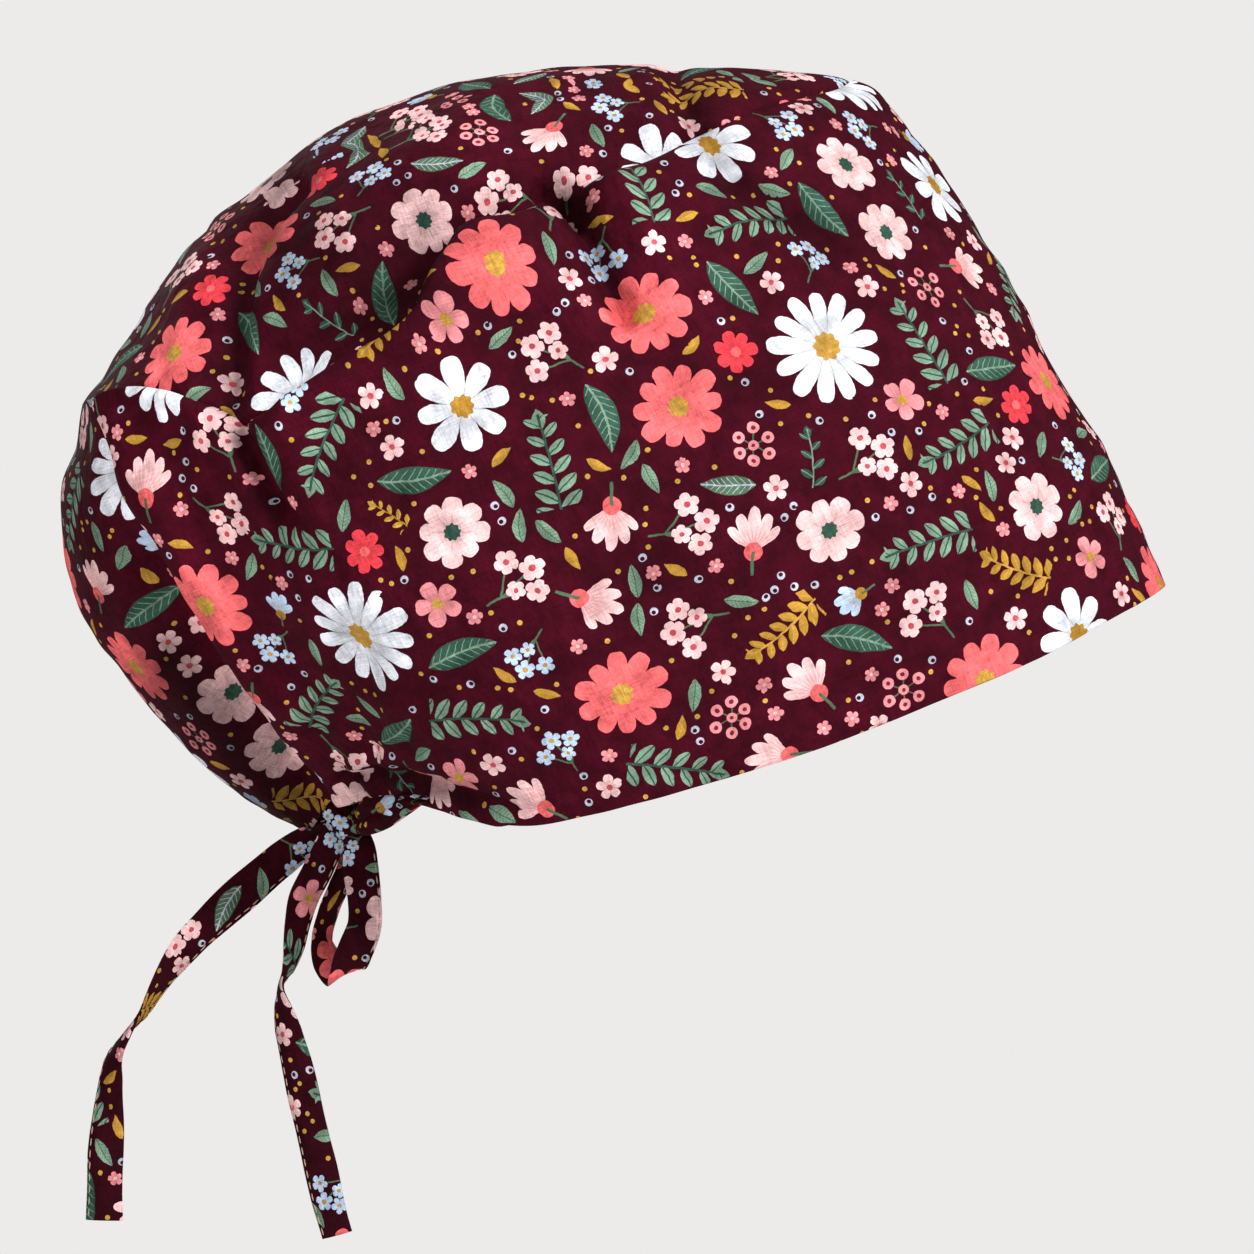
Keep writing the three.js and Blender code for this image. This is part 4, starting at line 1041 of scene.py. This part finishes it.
def weave_group():
    """Plain weave: threads both ways along the pattern, as a height and a slight unevenness of tone."""
    tree, n, i, o = group(
        "weave",
        [("Pitch", FLOAT, 0.36), ("Uneven", FLOAT, 0.5)],
        [("Height", FLOAT), ("Tone", FLOAT)],
    )
    uv = n.add("ShaderNodeUVMap", uv_map="pattern").outputs[0]
    x, y, _z = n.split(uv)
    k = n.over(2 * math.pi * 100, i["Pitch"])
    a = n.math("SINE", n.mul(x, k))
    b = n.math("SINE", n.mul(y, k))
    weave = n.mul(n.mul(a, b), 0.5)
    slub_x = n.noise(n.join(n.mul(x, 14.0), n.mul(y, 420.0)), 1.0, 1.0)
    slub_y = n.noise(n.join(n.mul(x, 420.0), n.mul(y, 14.0)), 1.0, 1.0)
    slub = n.minus(n.plus(slub_x, slub_y), 1.0)
    n.give(o, Height=n.plus(weave, n.mul(slub, i["Uneven"])), Tone=n.plus(1.0, n.mul(slub, 0.8)))
    return tree


PRINT = print_group()
WEAVE = weave_group()


def cotton(name, ground, strength, shade=1.0):
    """Printed cotton. ground is the cloth's colour, strength how much of the print shows on it and shade how
    light the whole is, below one as painted shade. The painted fold light and shade kept with the points darkens it
    too."""
    material = bpy.data.materials.new(name)
    material.use_nodes = True
    n = Nodes(material.node_tree)
    shader = material.node_tree.nodes["Principled BSDF"]
    ink_on = n.add("ShaderNodeGroup")
    ink_on.node_tree = PRINT
    n.put(ink_on.inputs["Ground"], ground)
    n.put(ink_on.inputs["Strength"], strength)
    weave = n.add("ShaderNodeGroup")
    weave.node_tree = WEAVE
    place_of = n.add("ShaderNodeTexCoord").outputs["Object"]
    mottle = n.ramp(n.noise(place_of, 140.0, 4.0, 0.62), 0.28, 0.72, 0.74, 1.28)
    # Painted shade and light along the folds, kept with each point, darkens the colour, with a little random unevenness
    # of tone; shade below one darkens it all as painted shade.
    painted_light_and_uneven_tone = n.minus(shade, n.add("ShaderNodeAttribute", attribute_name="painted_light_and_uneven_tone").outputs["Fac"])
    tone = n.mul(n.mul(weave.outputs["Tone"], mottle), painted_light_and_uneven_tone)
    n.put(shader.inputs["Base Color"], n.mix(1.0, ink_on.outputs["Color"], n.join(tone, tone, tone), "MULTIPLY"))
    crumple = n.noise(place_of, 90.0, 4.0, 0.55)
    height = n.plus(n.mul(weave.outputs["Height"], 0.05), n.mul(crumple, 3.6))
    bump = n.add("ShaderNodeBump")
    n.put(bump.inputs["Height"], height)
    n.put(bump.inputs["Distance"], 0.001)
    n.put(bump.inputs["Strength"], 0.9)
    n.put(shader.inputs["Normal"], bump.outputs[0])
    n.put(shader.inputs["Roughness"], n.ramp(ink_on.outputs["Mask"], 0.0, 1.0, 0.8, 0.72))
    shader.inputs["Specular IOR Level"].default_value = 0.06
    return material


FACE_CLOTH = cotton("cap_cloth", (*ink("ground"), 1), 1.0)
# The straps' cloth: the cap's cloth with its ground painted darker and the whole painted darker still, as painted shade
# standing in for the shadow on the straps.
SHADED_TIE_CLOTH = cotton("strap_cloth", tuple(0.62 * c for c in ink("ground")) + (1,), 1.0, 0.86)
BACK_CLOTH = cotton("cap_cloth_reverse", (0.16, 0.055, 0.075, 1), 0.45)


def wall_mesh(name, grid, flat, seed, panel):
    """A cloth wall from a grid of points, printed on its face."""
    rows, columns = grid.shape[:2]
    index = np.arange(rows * columns).reshape(rows, columns)
    faces = np.stack([index[:-1, :-1], index[1:, :-1], index[1:, 1:], index[:-1, 1:]], -1).reshape(-1, 4)
    mesh = bpy.data.meshes.new(name)
    mesh.from_pydata((grid.reshape(-1, 3) * MM).tolist(), [], faces.tolist())
    mesh.update()
    lay_print(mesh, flat.reshape(-1, 2)[faces], flat.reshape(-1, 2), seed)
    # Each point keeps how much painted fold shade and light, with a little random unevenness of tone, darkens it.
    layer = mesh.attributes.new("painted_light_and_uneven_tone", "FLOAT", "POINT")
    layer.data.foreach_set("value", painted_fold_light_and_uneven_tone(grid, panel).astype(np.float32).ravel())
    mesh.polygons.foreach_set("use_smooth", [True] * len(mesh.polygons))
    thing = bpy.data.objects.new(name, mesh)
    bpy.context.scene.collection.objects.link(thing)
    mesh.materials.append(FACE_CLOTH)
    mesh.materials.append(BACK_CLOTH)
    solid = thing.modifiers.new("cloth", "SOLIDIFY")
    solid.thickness = CLOTH * MM
    solid.offset = -1
    solid.material_offset = 1
    solid.material_offset_rim = 0
    return thing


# ---------------------------------------------------------------- straps

# The folded strap and its stitches in millimetres, where across the strap they run, from -1 to 1, how thick
# and how deeply gathered the strap beside the nape is, and the middle of the knot.
TIE_THICK = 1.5
STITCH_LENGTH = 2.2
STITCH_PITCH = 3.1
STITCH_WIDTH = 0.36
SEWN_AT = 0.78
WRAP_THICK, WRAP_GATHER = 3.4, 1.5
KNOT = np.array([-0.387 * CAP_LENGTH, 0, -0.152 * CAP_HEIGHT])

# Routes of the strap's free parts: the place from the knot's middle in millimetres, degrees that its width
# turns from the front and tilts up, and its width as a share of the strap's.
REAR_END = [
    (0, -3, 1, 70, 0, 0.6), (-4.5, -1.5, -1.6, 48, 0, 0.78), (-9.5, -0.2, -5.0, 26, 0, 0.94),
    (-17, -0.2, -11.0, 14, 0, 1), (-27.4, -1.8, -20.0, 10, 0, 1), (-34.7, -3.4, -26.6, 8, 0, 0.96),
    (-42.1, -4, -33.8, 20, 0, 0.92), (-47.2, -4, -40.5, 38, 0, 0.86), (-51.5, -3, -47.3, 58, 0, 0.78),
    (-54.9, -3, -53.5, 78, 0, 0.74),
    (-58.6, -3, -58.5, 105, 0, 0.74), (-62, -3, -64.4, 128, 0, 0.8), (-63.2, -3, -70.5, 145, 0, 0.86),
    (-64, -3, -79.4, 160, 0, 0.92), (-64.6, -3, -90.5, 172, 0, 0.98), (-64.9, -3, -108.5, 176, 0, 1),
]
FRONT_END = [
    (-1, -3, 0.5, 10, 0, 0.6), (-3.5, -6, -6, 10, 0, 0.8), (-7, -7, -13.6, 12, 0, 0.84), (-10.8, -7, -21.1, 15, 0, 0.8),
    (-12.6, -7, -27.8, 20, 0, 0.74), (-13.8, -7, -34.5, 38, 0, 0.74), (-15.2, -7, -40.5, 65, 0, 0.7),
    (-16.9, -7, -45, 92, 0, 0.68), (-16.7, -7, -50.2, 125, 0, 0.78), (-15.2, -7, -57, 155, 0, 0.84),
    (-12.9, -7, -66, 165, 0, 0.88), (-10.7, -7, -75.7, 170, 0, 0.9), (-8.4, -7, -85.4, 172, 0, 0.91),
    (-6.2, -7, -95.1, 172, 0, 0.9), (-4.2, -7, -104, 172, 0, 0.88), (-1.9, -7, -112, 172, 0, 0.87),
]
LOOP = [
    (1, -3, 0, 15, 0, 0.65), (4.0, -8, -7.5, 18, 0, 0.85), (4.6, -10, -14, 18, 0, 0.98), (5.6, -11, -21.8, 15, 3, 0.96),
    (5.6, -11.5, -28.5, 12, 8, 0.94), (3, -11.5, -35.5, 8, 17, 0.97), (0.8, -10, -40, 5, 24, 1.05),
    (-0.9, -6.5, -41.8, 5, 26, 1.05), (-4.2, -3, -38.8, 25, 20, 0.95), (-5.9, -2.2, -33.3, 52, 10, 0.8),
    (-4.4, -1.8, -25.7, 42, 5, 0.74), (-1.4, -1, -18.2, 36, 0, 0.72), (1, -1, -10, 50, 0, 0.6),
    (1.4, -0.5, -2.5, 40, 0, 0.5),
]


def stations(route):
    """Middles, directions of the width and widths along a route."""
    t = np.array(route, float)
    turn, tilt = np.radians(t[:, 3]), np.radians(t[:, 4])
    across = np.stack([np.cos(turn) * np.cos(tilt), np.sin(turn) * np.cos(tilt), np.sin(tilt)], -1)
    return KNOT + t[:, :3], across, t[:, 5] * TIE_WIDTH


def sweep(route, pitch=0.7):
    """A route at a fine pitch: middles, directions of its run, of its width and of its face, widths, lengths."""
    middle, across, width = route
    line = Line(middle)
    keys = np.array([np.argmin(np.linalg.norm(line.points - m, axis=1)) for m in middle])
    keys[0], keys[-1] = 0, len(line.points) - 1
    at = line.at[keys]
    n = int(line.length / pitch)
    share = np.linspace(0, 1, n + 1)
    m = line(share)
    run = unit(np.gradient(m, axis=0))
    a = np.stack([np.interp(share, at, across[:, k]) for k in range(3)], -1)
    a = unit(a - (a * run).sum(-1, keepdims=True) * run)
    face = np.cross(run, a)
    return m, run, a, face, np.interp(share, at, width), share * line.length


# How many more motifs a strap has than the panels, and the places across its face.
STRAP_PRINT = 1.5
STRAP_COLUMNS = 17


def strap_section():
    """Round a folded strap: side from -1 to 1, face from -1 to 1, and where it lies in the flat strip."""
    side = np.sin(np.linspace(-1, 1, STRAP_COLUMNS) * math.pi / 2)
    front = np.column_stack([side, np.sqrt(np.clip(1 - np.abs(side) ** 7, 0, 1)), side])
    back = np.column_stack([side[::-1], -np.sqrt(np.clip(1 - np.abs(side[::-1]) ** 7, 0, 1)), 2 - side[::-1]])
    return np.concatenate([front[:-1], back])


def strap(name, route, seed, crumple, cup=0.0, thick=TIE_THICK, stitch=None, gather=0.0):
    """A folded strap along a route, printed on both faces. crumple is how unevenly it lies, cup how hollow its
    face is, stitch the side of its width that is sewn, and gather how deeply it is crumpled lengthwise.
    Returns the piece, its middle line with the lengths along it, and its stitch lines."""
    m, run, a, face, width, s = sweep(route)
    side, f, strip = strap_section().T
    p = m[:, None] + a[:, None] * (side * width[:, None] / 2)[..., None]
    body = f * thick / 2 * (1 - 0.3 * np.abs(side) ** 4)
    # The stitches draw a groove in, with a pucker between each two.
    if stitch:
        groove = np.exp(-(((side - stitch) / 0.13) ** 2))
        pucker = 0.5 + 0.5 * np.cos(s / STITCH_PITCH * 2 * math.pi)
        body = body * (1 - groove * (0.3 + 0.25 * pucker[:, None]))
    # The strap's face is hollow, waves slowly and is crumpled, and its edges aren't quite straight.
    bend = cup * (np.abs(side) ** 2 - 0.35) * width[:, None] / 2
    flutter = 0.28 * np.sin(s / 11 + seed)[:, None] * side + 0.2 * np.sin(s / 5.3 + 2 * seed)[:, None] * side**2
    p = p + face[:, None] * (body + bend + flutter * crumple)[..., None]
    p = p + face[:, None] * (crumple * 0.5 * waves(p, seed, 6, 26, 7) * (1 - 0.3 * side**2))[..., None]
    p = p + a[:, None] * (crumple * 0.22 * np.sin(s / 4.1 + seed * 3)[:, None] * np.sign(side) * side**2)[..., None]
    if gather:
        drift = 1.1 * np.sin(s / 6.5 + seed)[:, None] + 0.6 * np.sin(s / 2.9)[:, None]
        ridge = np.abs(np.sin(side * 3.4 + drift)) - 0.55
        p = p + face[:, None] * (gather * np.sign(f) * ridge * (1 - side**4))[..., None]
    flat = np.stack(np.broadcast_arrays(strip[None] * TIE_WIDTH / 2, s[:, None]), -1)
    lines = []
    if stitch:
        keep = (s > 12) & (s < s[-1] - 1.5)
        for sign in (1, -1):
            k = np.argmin(np.abs(side - stitch) + (f * sign < 0) * 9)
            lines.append((p[:, k] + face * sign * 0.06)[keep])
    return tube(name, p, flat, seed, STRAP_PRINT), (m, s), lines


def tube(name, rings, flat, seed, share=1.0):
    """A closed skin from rings of points whose last one repeats the first, printed all over."""
    rows, columns = rings.shape[:2]
    index = np.arange(rows * (columns - 1)).reshape(rows, columns - 1)
    index = np.concatenate([index, index[:, :1]], axis=1)
    faces = np.stack([index[:-1, :-1], index[:-1, 1:], index[1:, 1:], index[1:, :-1]], -1).reshape(-1, 4)
    at = np.arange(rows * columns).reshape(rows, columns)
    corners = np.stack([at[:-1, :-1], at[:-1, 1:], at[1:, 1:], at[1:, :-1]], -1).reshape(-1, 4)
    points = rings[:, :-1].reshape(-1, 3)
    ends = [index[0, :-1][::-1].tolist(), index[-1, :-1].tolist()]
    mesh = bpy.data.meshes.new(name)
    mesh.from_pydata((points * MM).tolist(), [], faces.tolist())
    mesh.update()
    thing = bpy.data.objects.new(name, mesh)
    bpy.context.scene.collection.objects.link(thing)
    lay_print(mesh, flat.reshape(-1, 2)[corners], flat.reshape(-1, 2), seed, share)
    mesh.polygons.foreach_set("use_smooth", [True] * len(mesh.polygons))
    mesh.materials.append(SHADED_TIE_CLOTH)
    cap_ends(mesh, ends)
    return thing


def cap_ends(mesh, ends):
    """Closes a tube's two ends."""
    work = bmesh.new()
    work.from_mesh(mesh)
    work.verts.ensure_lookup_table()
    for end in ends:
        work.faces.new([work.verts[k] for k in end])
    bmesh.ops.recalc_face_normals(work, faces=work.faces)
    work.to_mesh(mesh)
    work.free()


# The strap beside the nape: places along the hem, how far its middle hangs below it and its width, in
# millimetres.
NAPE_STRAP = [(0.846, -0.9, 1.2), (0.862, -0.3, 2.6), (0.885, 1.3, 5.4), (0.915, 3.4, 8.8), (0.948, 4.6, 10.4)]


def nape_route(side):
    """The strap from the end of the band's casing to the knot, on the right, or mirrored on the left."""
    rows = [(hem_line(0.5 + along / 2) - (0, 0, down), wide) for along, down, wide in NAPE_STRAP]
    rows.append(((rows[-1][0] + KNOT) / 2 + (1.5, -0.5, 0.3), 10.2))
    rows.append((KNOT + (1, 0, 0.5), 7.5))
    middle = np.array([r[0] for r in rows]) * (1, side, 1)
    across = np.tile([0.0, 0.0, 1.0], (len(rows), 1))
    across[2:, 1] = 0.3 * side
    return middle, unit(across), np.array([r[1] for r in rows])


# The knot's core along X, Y and Z in millimetres, and the strap's turns over it: the direction that each
# crosses, its place, half its width and its height.
KNOT_CORE = (15, 21, 13)
KNOT_TURNS = [
    ((0.55, -0.2, 0.8), 0.1, 2.6, 1.1), ((-0.75, -0.25, 0.55), -0.15, 2.4, 0.9), ((0.2, -0.9, -0.3), 0.3, 2.0, 0.5),
]


def knot_piece():
    """The knot: the strap's turns over a round core, each an own bulge with a crease beside it."""
    rows, columns = 90, 96
    lat = np.linspace(0, math.pi, rows)[:, None]
    lon = np.linspace(0, 2 * math.pi, columns)[None]
    d = np.stack(np.broadcast_arrays(np.sin(lat) * np.cos(lon), np.sin(lat) * np.sin(lon), np.cos(lat) + 0 * lon), -1)
    p = d * np.array(KNOT_CORE) / 2
    high = np.zeros(p.shape[:-1])
    # Each turn is a bulge with ribs along it and a crease on both sides.
    for axis, off, wide, tall in KNOT_TURNS:
        t = (p @ unit(np.array(axis, float)) - off * 6) / wide
        high = np.maximum(high, tall * np.clip(1 - t**4, 0, 1) ** 0.5)
        high -= 0.45 * np.exp(-((np.abs(t) - 1.1) / 0.16) ** 2)
        high += 0.12 * np.sin(t * 7.0) * (np.abs(t) < 1)
    high += 0.35 * waves(p, 21, 6, 12, 3)
    p = KNOT + p + d * (high - 0.5)[..., None]
    flat = np.stack(np.broadcast_arrays(lon * 8, lat * 8), -1)
    return tube("knot_folds", p, flat, 61)


band_grid, band_normals, band_flat, crown_grid, crown_normals, crown_flat = panels()
bg, bf = finished_band(band_grid, band_normals, band_flat)
cg, cf = finished_crown(crown_grid, crown_normals, crown_flat)
band_cloth = wall_mesh("band_cloth", bg, bf, 11, "band")
crown_cloth = wall_mesh("crown_cloth", cg, cf, 12, "crown")

tail_rear, rear_tail, rear_seams = strap("strap_tail_rear", stations(REAR_END), 31, 0.6, 0.12, stitch=SEWN_AT)
tail_front, front_tail, front_seams = strap("strap_tail_front", stations(FRONT_END), 32, 0.65, 0.14, stitch=SEWN_AT)
loop_strap, loop_run, loop_seams = strap("strap_loop", stations(LOOP), 33, 0.7, 0.15, stitch=SEWN_AT)
wrap_near = strap("strap_wrap_near", nape_route(1), 34, 1.2, thick=WRAP_THICK, gather=WRAP_GATHER)[0]
wrap_far = strap("strap_wrap_far", nape_route(-1), 35, 1.2, thick=WRAP_THICK, gather=WRAP_GATHER)[0]
knot_folds = knot_piece()

# ---------------------------------------------------------------- stitching

THREAD = bpy.data.materials.new("thread")
THREAD.use_nodes = True
thread_shader = THREAD.node_tree.nodes["Principled BSDF"]
thread_shader.inputs["Base Color"].default_value = (0.4, 0.27, 0.17, 1)
thread_shader.inputs["Roughness"].default_value = 0.6
thread_shader.inputs["Sheen Weight"].default_value = 0.3


def stitch_tool():
    """A node group that lays stitches along a line of points: each a short rounded thread."""
    tree = bpy.data.node_groups.new("lay_stitches", "GeometryNodeTree")
    tree.interface.new_socket("Geometry", in_out="INPUT", socket_type="NodeSocketGeometry")
    for title, value in (("Pitch", STITCH_PITCH), ("Length", STITCH_LENGTH), ("Width", STITCH_WIDTH)):
        socket = tree.interface.new_socket(title, in_out="INPUT", socket_type="NodeSocketFloat")
        socket.default_value = value * MM
    socket = tree.interface.new_socket("Material", in_out="INPUT", socket_type="NodeSocketMaterial")
    tree.interface.new_socket("Geometry", in_out="OUTPUT", socket_type="NodeSocketGeometry")
    add, link = tree.nodes.new, tree.links.new
    i, o = add("NodeGroupInput"), add("NodeGroupOutput")
    to_curve = add("GeometryNodeMeshToCurve")
    link(i.outputs["Geometry"], to_curve.inputs["Mesh"])
    to_points = add("GeometryNodeCurveToPoints")
    to_points.mode = "LENGTH"
    link(to_curve.outputs[0], to_points.inputs["Curve"])
    link(i.outputs["Pitch"], to_points.inputs["Length"])
    thread = add("GeometryNodeMeshUVSphere")
    thread.inputs["Segments"].default_value = 8
    thread.inputs["Rings"].default_value = 6
    thread.inputs["Radius"].default_value = 0.5
    size = add("ShaderNodeCombineXYZ")
    link(i.outputs["Width"], size.inputs["X"])
    link(i.outputs["Width"], size.inputs["Y"])
    link(i.outputs["Length"], size.inputs["Z"])
    shaped = add("GeometryNodeTransform")
    link(thread.outputs["Mesh"], shaped.inputs["Geometry"])
    link(size.outputs[0], shaped.inputs["Scale"])
    smooth = add("GeometryNodeSetShadeSmooth")
    link(shaped.outputs[0], smooth.inputs["Geometry"])
    laid = add("GeometryNodeInstanceOnPoints")
    link(to_points.outputs["Points"], laid.inputs["Points"])
    link(smooth.outputs[0], laid.inputs["Instance"])
    link(to_points.outputs["Rotation"], laid.inputs["Rotation"])
    real = add("GeometryNodeRealizeInstances")
    link(laid.outputs[0], real.inputs["Geometry"])
    painted = add("GeometryNodeSetMaterial")
    link(real.outputs[0], painted.inputs["Geometry"])
    link(i.outputs["Material"], painted.inputs["Material"])
    link(painted.outputs[0], o.inputs["Geometry"])
    return tree


STITCHES = stitch_tool()


def stitches(name, lines):
    """One object of stitches along several lines of points in millimetres."""
    points, edges = [], []
    for line in lines:
        start = len(points)
        points += (np.asarray(line) * MM).tolist()
        edges += [(k, k + 1) for k in range(start, len(points) - 1)]
    mesh = bpy.data.meshes.new(name + "_line")
    mesh.from_pydata(points, edges, [])
    thing = bpy.data.objects.new(name, mesh)
    bpy.context.scene.collection.objects.link(thing)
    maker = thing.modifiers.new("stitches", "NODES")
    maker.node_group = STITCHES
    sockets = {s.name: s.identifier for s in STITCHES.interface.items_tree if s.in_out == "INPUT"}
    maker[sockets["Material"]] = THREAD
    bpy.context.view_layer.update()
    made = bpy.data.meshes.new_from_object(thing.evaluated_get(bpy.context.evaluated_depsgraph_get()))
    thing.modifiers.clear()
    thing.data = made
    bpy.data.meshes.remove(mesh)
    return thing


ties_stitching = stitches("strap_stitching", rear_seams + front_seams + loop_seams)

# ---------------------------------------------------------------- what each piece stands for

for thing, node, slot in (
    (band_cloth, "band", "cap_cloth"), (crown_cloth, "crown_back", "cap_cloth"),
    (tail_rear, "tie_end_rear", "strap_cloth"), (tail_front, "tie_end_front", "strap_cloth"),
    (loop_strap, "bow_loop", "strap_cloth"), (wrap_near, "tie_wrap_near", "strap_cloth"),
    (wrap_far, "tie_wrap_far", "strap_cloth"), (knot_folds, "knot", "strap_cloth"),
):
    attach(thing, "root")
    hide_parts(node)
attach(ties_stitching, "root")


def declare_strap(thing, line):
    """Unpacks a strap's middle line into its points and the lengths along them, and does nothing more with them."""
    m, s = line


declare_strap(tail_rear, rear_tail)
declare_strap(tail_front, front_tail)
declare_strap(loop_strap, loop_run)


def cut_area(flat):
    """Area of a flat pattern in square metres, and its width and length."""
    a = flat[1:, :-1] - flat[:-1, :-1]
    b = flat[:-1, 1:] - flat[:-1, :-1]
    area = np.abs(a[..., 0] * b[..., 1] - a[..., 1] * b[..., 0]).sum() * MM * MM
    size = np.ptp(flat.reshape(-1, 2), axis=0) * MM
    return float(area), (float(size.min()), float(size.max()))


for thing, flat in ((band_cloth, bf), (crown_cloth, cf)):
    area, size = cut_area(flat)

# ---------------------------------------------------------------- room, light and camera


PAPER = (0.838, 0.83, 0.822)
FLOOR_REACH, FLOOR_LOW = 40, -0.6

# The studio's lights: name, place, what each aims at, its width in metres and its power.
LIGHTS = [
    ("key", (1.3, -1.5, 1.0), (-0.02, 0, 0.06), 0.6, 44),
    ("fill", (-1.1, -2.0, 0.8), (-0.02, 0, 0.05), 1.2, 23),
    ("top", (0.1, 0.3, 1.9), (-0.02, 0, 0.05), 1.4, 7),
    ("back", (-1.2, 1.9, 0.9), (-0.02, 0, 0.05), 1.2, 12),
]


def seen_as(tree, colour, other):
    """Shows camera rays an even colour, and other rays what the other shader gives."""
    add, link = tree.nodes.new, tree.links.new
    even = add("ShaderNodeEmission")
    even.inputs["Color"].default_value = (*colour, 1)
    mix = add("ShaderNodeMixShader")
    link(add("ShaderNodeLightPath").outputs["Is Camera Ray"], mix.inputs[0])
    link(other, mix.inputs[1])
    link(even.outputs[0], mix.inputs[2])
    return mix.outputs[0]


def pale_floor():
    """A wide pale floor well below the cap, as even as the room behind it."""
    mesh = bpy.data.meshes.new("floor")
    corners = [(x * FLOOR_REACH, y * FLOOR_REACH, FLOOR_LOW) for x, y in ((-1, -1), (1, -1), (1, 1), (-1, 1))]
    mesh.from_pydata(corners, [], [(0, 1, 2, 3)])
    thing = bpy.data.objects.new("floor", mesh)
    bpy.context.scene.collection.objects.link(thing)
    material = bpy.data.materials.new("paper")
    material.use_nodes = True
    tree = material.node_tree
    shader = tree.nodes["Principled BSDF"]
    shader.inputs["Base Color"].default_value = (*PAPER, 1)
    shader.inputs["Roughness"].default_value = 0.9
    tree.links.new(seen_as(tree, PAPER, shader.outputs[0]), tree.nodes["Material Output"].inputs["Surface"])
    mesh.materials.append(material)
    return thing


def light(name, place_at, aim, size, power):
    """A round soft light."""
    data = bpy.data.lights.new(name, "AREA")
    data.shape = "DISK"
    data.size = size
    data.energy = power
    thing = bpy.data.objects.new(name, data)
    thing.location = place_at
    thing.rotation_euler = (Vector(aim) - Vector(place_at)).to_track_quat("-Z", "Y").to_euler()
    bpy.context.scene.collection.objects.link(thing)
    return thing


pale_floor()
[light(*row) for row in LIGHTS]

world = bpy.data.worlds.new("studio")
world.use_nodes = True
world_tree = world.node_tree
world_tree.nodes["Background"].inputs["Color"].default_value = (0.93, 0.94, 0.96, 1)
world_tree.nodes["Background"].inputs["Strength"].default_value = 0.22
shown = seen_as(world_tree, PAPER, world_tree.nodes["Background"].outputs[0])
world_tree.links.new(shown, world_tree.nodes["World Output"].inputs["Surface"])
bpy.context.scene.world = world
bpy.context.scene.view_settings.view_transform = "Standard"

camera_data = bpy.data.cameras.new("camera")
camera_data.sensor_width = 36
camera_data.lens = camera_data.sensor_width * VIEW_DISTANCE / (PIXEL * PHOTO_SIDE)
camera = bpy.data.objects.new("camera", camera_data)
camera.location = (VIEW_X * MM, -VIEW_DISTANCE * MM, VIEW_Z * MM)
camera.rotation_euler = (math.pi / 2, 0, 0)
bpy.context.scene.collection.objects.link(camera)
bpy.context.scene.camera = camera
